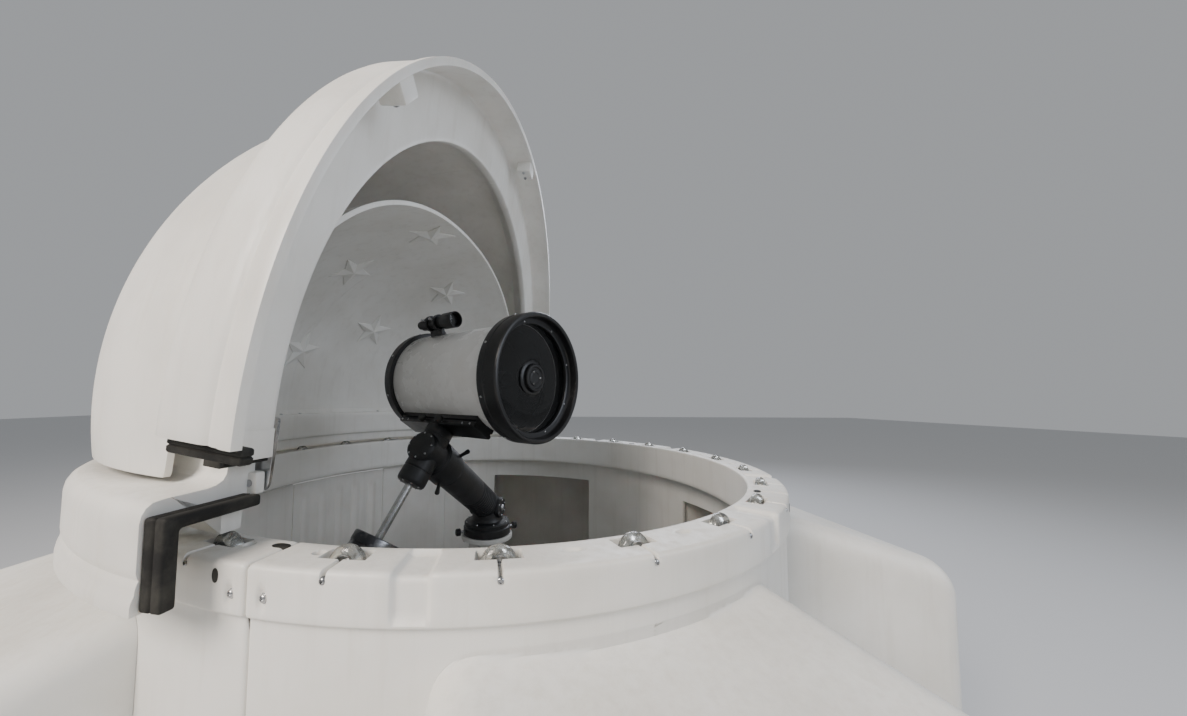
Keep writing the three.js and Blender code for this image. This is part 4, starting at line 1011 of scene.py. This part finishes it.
for out, ring in zip(spokes(cheek, np.cross(cheek, POLAR), 8), spokes(u, np.cross(DEC, u), 8)):
    screws.append(bolt_head(FOOT + POLAR * (REACH + 0.0565) + out * 0.047, POLAR, 8, 3.4))
    screws.append(bolt_head(HEAD - DEC * 0.1285 + ring * 0.041, -DEC, 7.5, 3.2))
shaft = mm([(0, -430), (12.5, -430), (14, -428.5), (14, -130.3), (0, -130.3)])
screws.append(lathe(shaft, HEAD, DEC, 36))
mesh_piece("counterweight_shaft", merged(screws), steel, "polar_axis", sharp=32)
mesh_piece("clutch_levers", merged(levers), grip_plastic, "polar_axis", sharp=45)
weight = mm([(14.2, -400), (72, -400), (76.5, -397.5), (78, -393), (78, -368), (76, -366), (76, -354),
             (78, -352), (78, -327), (76.5, -322.5), (72, -320), (40, -320), (38, -322.5), (14.2, -322.5),
             (14.2, -400)])
nut = rounded(cylinder(14.2, 23.5, -427.5, -412), 0.0015)
# The counterweight's steel is coloured dark grey, far darker than the other steel.
dark_grey_steel = brushed_steel("dark grey turned steel counterweight", "#4b4c50", 0.32, 2)
drum = merged([lathe(weight, HEAD, DEC, 72), lathe(nut, HEAD, DEC, 28)])
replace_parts(mesh_piece("counterweight_drum", drum, dark_grey_steel, "polar_axis", sharp=32), "counterweight")

# The saddle: a black aluminium dovetail bar hollowed to the tube, held by two clamp knobs.
ACROSS = np.cross(DEC, AHEAD)
flank = mm([(44, 95.5), (48, 99.5), (48, 107.5), (41.5, 111), (41.5, 116), (48, 119)])
hollow = [(w, DEC_REACH - math.sqrt(0.2003 ** 2 - w ** 2)) for w in np.linspace(0.047, -0.047, 19)]
saddle = [(-0.044, 0.0955)] + flank + hollow + [(-w, h) for w, h in flank[:0:-1]]
ends = mm([(-225, 2), (-223.5, 0.4), (-222, 0), (222, 0), (223.5, 0.4), (225, 2)])
bar = mesh_piece("saddle_bar", extruded(saddle, HEAD, ACROSS, DEC, AHEAD, ends), smooth_black,
                 "declination_axis", sharp=30)
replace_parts(bar, "tube_saddle")
knobs, screws = [], []
knob = rounded(mm([(0, 10), (14.5, 10), (16, 14), (16, 24), (13, 28), (0, 28.5)]), 0.0015)
for d in (-0.05, 0.05):
    at = HEAD + AHEAD * d + DEC * 0.104 - ACROSS * 0.047
    screws.append(lathe(cylinder(0, 4.5, 0, 22), at, -ACROSS, 16))
    knobs.append(lathe(knob, at, -ACROSS, 12))
for d in (-0.205, -0.165, 0.165, 0.205):
    for out in (ACROSS, -ACROSS):
        screws.append(bolt_head(HEAD + AHEAD * d + DEC * 0.103 + out * 0.0478, out, 8.5, 4))
mesh_piece("saddle_screws", merged(screws), steel, "declination_axis", sharp=32)
mesh_piece("saddle_knobs", merged(knobs), grip_plastic, "declination_axis", sharp=40, bevel=0.001)


def on_tube(name, paths, material, sharp, steps=96):
    """A piece of the tube from profiles of (radius, distance ahead) about its axis."""
    shape = merged([lathe(path, TUBE, AHEAD, steps) for path in paths])
    return mesh_piece(name, shape, material, "declination_axis", sharp=sharp)


# The tube: rolled aluminium enamelled white outside, blackened inside with three stray-light rings,
# and the concave main mirror in its dark back.
wall = mm([(196.5, -235), (199.5, -235), (200, -234), (200, 294), (199.5, 295), (196.5, 295),
           (196.5, -235)])
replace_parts(on_tube("tube_wall", [wall], tube_white, 40), "telescope_tube")
matt = painted("matt black flock paint", "black_paint", "#0a0a0a", "#101010", 0.9, 3.0, 0.00003, 0.0, 0.0)
lining = [(194.2, -234.5), (196.2, -234.5), (196.2, 294.5), (194.2, 294.5)]
for s in (240, 120, 0):
    lining += [(194.2, s + 1.6), (181, s + 1), (181, s), (194.2, s - 0.6)]
baffle = [(30, -215), (33, -215), (33, 100), (28, 215), (26.2, 215), (30, 100), (30, -215)]
lining = [lathe(mm(lining + lining[:1]), TUBE, AHEAD, 96), lathe(mm(baffle), TUBE, AHEAD, 40)]
mesh_piece("tube_lining", merged(lining), matt, "declination_axis", sharp=40)
mirror = new_material("aluminised glass mirror", "steel", "#b9bdc2", 0.0, 1.0)
dust = add(mirror, "TexNoise", {"Vector": (add(mirror, "TexCoord"), "Object")}, Scale=30.0, Detail=4.0)
plug(mirror, add(mirror, "ValToRGB", {"Fac": dust}, [(0.4, "#b9bdc2"), (0.8, "#9da1a5")]), "Base Color")
bowl = [(r, -0.222 + r * r / 3.0) for r in np.linspace(0.034, 0.188, 24)]
on_tube("main_mirror", [bowl + mm([(188, -232), (34, -232)]) + bowl[:1]], mirror, 30, 80)

# The front cell: a stepped cast ring that holds the thin corrector glass, with the secondary
# mirror's holder in its middle. The photo's lettering on it is left off.
ring = mm([(212, 295.3), (224, 295.3), (228.5, 298.5), (230, 304), (230, 326), (228.2, 328), (228.2, 332),
           (230, 334), (230, 374), (228.8, 380), (226, 383.8), (222, 385), (216.5, 384.6), (213.5, 382),
           (212, 376), (212, 356), (209, 352), (204, 350.5), (196, 350), (193, 348.5), (192, 345),
           (192, 338), (204, 337), (204, 320), (197.5, 319), (197.5, 295.3), (212, 295.3)])
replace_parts(on_tube("front_cell_ring", [ring], smooth_black, 34, 112), "front_cell")
holder = mm([(0, 305), (44, 305), (50, 307.5), (52, 312), (52, 327), (64, 333), (64, 338), (60, 341),
             (52, 342.5), (50, 346), (49, 353), (46.5, 356), (40, 356.5), (38.5, 355), (37, 352),
             (30, 351.5), (28.5, 353.5), (20, 354.5), (18.5, 353), (10, 352.5), (0, 352.5)])
on_tube("secondary_holder", [holder], smooth_black, 30, 72)
glass = new_material("coated corrector glass", "wheel_plastic", "#07090a", 0.02, Alpha=0.30, IOR=1.5,
                     Coat_Weight=1.0, Coat_Roughness=0.02)
dew = add(glass, "TexNoise", {"Vector": (add(glass, "TexCoord"), "Object")}, Scale=7.0, Detail=1.0,
          Roughness=0.4)
plug(glass, add(glass, "ValToRGB", {"Fac": dew}, [(0.4, "#07090a"), (0.75, "#14181a")]), "Base Color")
plate = rounded(cylinder(52.5, 203.6, 333.5, 338.5), 0.0005, 2)
on_tube("corrector_glass", [plate], glass, 40)
screws = []
for out in spokes(SIDE, UP, 8, 0.3):
    screws.append(bolt_head(TUBE + AHEAD * 0.3504 + out * 0.201, AHEAD, 7.5, 2.6))
    screws.append(bolt_head(TUBE + AHEAD * 0.3125 + out * 0.2299, out, 8.5, 3))
    screws.append(bolt_head(TUBE - AHEAD * 0.260 + out * 0.2149, out, 8.5, 3))
for out in spokes(SIDE, UP, 3):
    screws.append(bolt_head(TUBE + AHEAD * 0.353 + out * 0.024, AHEAD, 8, 5))
mesh_piece("cell_screws", merged(screws), steel, "declination_axis", sharp=32)

# The rear cell: a cast back with a rolled rim, a stepped boss and the threaded port, and a focus knob.
back = mm([(0, -235.3), (211, -235.3), (215, -238.5), (215, -272), (213, -280), (208, -287), (200, -292),
           (188, -294.5), (170, -295), (110, -295), (106, -296.5), (104, -299), (99, -300), (74, -300.5),
           (70.5, -303), (70, -306), (70, -322.5), (68, -325), (54, -325), (52.5, -323.5), (52, -310),
           (0, -309.5)])
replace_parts(on_tube("rear_cell_casting", [back], cast_black, 32), "rear_cell")
knob = rounded(mm([(0, -294), (17, -294), (17, -318), (14.5, -321.5), (0, -321.5)]), 0.0015)
focus = lathe(knob, TUBE + SIDE * 0.135 - UP * 0.035, AHEAD, 14)
mesh_piece("focus_knob", focus, grip_plastic, "declination_axis", sharp=40, bevel=0.001)

# The finder: a small straight telescope with a wide front bell and an eyepiece, on a dovetail post.
off = unit(SIDE * (-math.sin(TILT) * 0.42) + UP * 0.9)
sight = TUBE + off * 0.252
RING_SPOTS = (-140, -88)
finder = mm([(0, -215), (15, -215), (17, -213.5), (17, -195), (15, -193.5), (15, -190), (23.5, -188),
             (25, -186), (25, -156), (24, -155), (24, -150), (25, -149), (25, -60), (26.5, -52), (31, -46),
             (32, -44), (32, 8), (31.2, 9), (31.2, 12), (32, 13), (32, 19), (31.2, 20), (29, 20),
             (28.5, 19), (28, -4), (0, -4)])
parts = [lathe(finder, sight, AHEAD, 56)]
parts += [lathe(rounded(cylinder(25.2, 32.5, s - 7, s + 7), 0.0015), sight, AHEAD, 56) for s in RING_SPOTS]
beside = np.cross(off, AHEAD)
stem = mm([(987, 200.4), (1013, 200.4), (1010, 208), (1008.5, 216), (1008.5, 226), (991.5, 226),
           (991.5, 216), (990, 208)])
parts.append(extruded(rounded(stem, 0.001, 2), TUBE - beside, beside, off, AHEAD,
                      mm([(-152, 1), (-151, 0), (-77, 0), (-76, 1)])))
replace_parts(mesh_piece("finder_tube", merged(parts), smooth_black, "declination_axis", sharp=34),
            "finder_scope")
lens = lathe(mm([(0, -2), (27.8, -2), (27.8, 0.5), (18, 2.6), (0, 3.4)]), sight, AHEAD, 40)
mesh_piece("finder_lens", lens, glass, "declination_axis", sharp=40)
screw = mm([(0, 26), (2.2, 26), (2.2, 44), (5.5, 44), (5.5, 50), (0, 50.5)])
screws = [lathe(screw, sight + AHEAD * s / 1000, out, 16) for s in RING_SPOTS
          for out in spokes(beside, off, 3, math.pi / 6)]
mesh_piece("finder_screws", merged(screws), steel, "declination_axis", sharp=32)

# The plain pale floor, the soft studio light and the camera at the photograph's viewing angle.
bpy.ops.mesh.primitive_plane_add(size=60, location=(0, 0, -0.001))
floor = bpy.context.object
floor.name = "studio_floor"
floor.data.materials.append(new_material("matt studio floor", None, "#c8c9ca", 0.85))
world = bpy.data.worlds.new("studio")
bpy.context.scene.world = world
world.use_nodes = True
world.node_tree.nodes["Background"].inputs["Color"].default_value = srgb("#e6e9ed")
world.node_tree.nodes["Background"].inputs["Strength"].default_value = 0.46


def softbox(name, spot, aim, size, power, colour):
    """A rectangular area light at a spot, turned towards its aim."""
    light = bpy.data.lights.new(name, "AREA")
    light.shape = "RECTANGLE"
    light.size, light.size_y = size
    light.energy = power
    light.color = srgb(colour)[:3]
    obj = bpy.data.objects.new(name, light)
    bpy.context.collection.objects.link(obj)
    obj.location = spot
    obj.rotation_euler = (Vector(aim) - Vector(spot)).to_track_quat("-Z", "Y").to_euler()


softbox("key_softbox", (-4.0, -5.0, 5.5), (0, 0, 1.2), (3.0, 3.0), 640, "#fff4ea")
softbox("fill_softbox", (5.5, -3.5, 3.5), (0, 0, 1.0), (4.0, 3.0), 130, "#eaf1ff")
softbox("rim_softbox", (2.0, 6.0, 5.0), (0, 0, 1.4), (5.0, 2.5), 300, "#eef3ff")

camera_data = bpy.data.cameras.new("photo_camera")
camera_data.lens = 11.83
camera_data.sensor_width = 36.0
camera_data.shift_x = 0.0468
camera_data.shift_y = 0.0139
camera_data.clip_start = 0.05
camera = bpy.data.objects.new("photo_camera", camera_data)
bpy.context.collection.objects.link(camera)
camera.location = (0.0808, -1.9134, 1.5201)
azimuth, pitch, roll = math.radians(85.3), math.radians(3.43), math.radians(0.45)
look = Vector((math.cos(azimuth) * math.cos(pitch), math.sin(azimuth) * math.cos(pitch), math.sin(pitch)))
level = Vector((math.sin(azimuth), -math.cos(azimuth), 0.0))
right = level * math.cos(roll) + level.cross(look) * math.sin(roll)
camera.rotation_mode = "QUATERNION"
camera.rotation_quaternion = Matrix((right, right.cross(look), -look)).transposed().to_quaternion()
bpy.context.scene.camera = camera
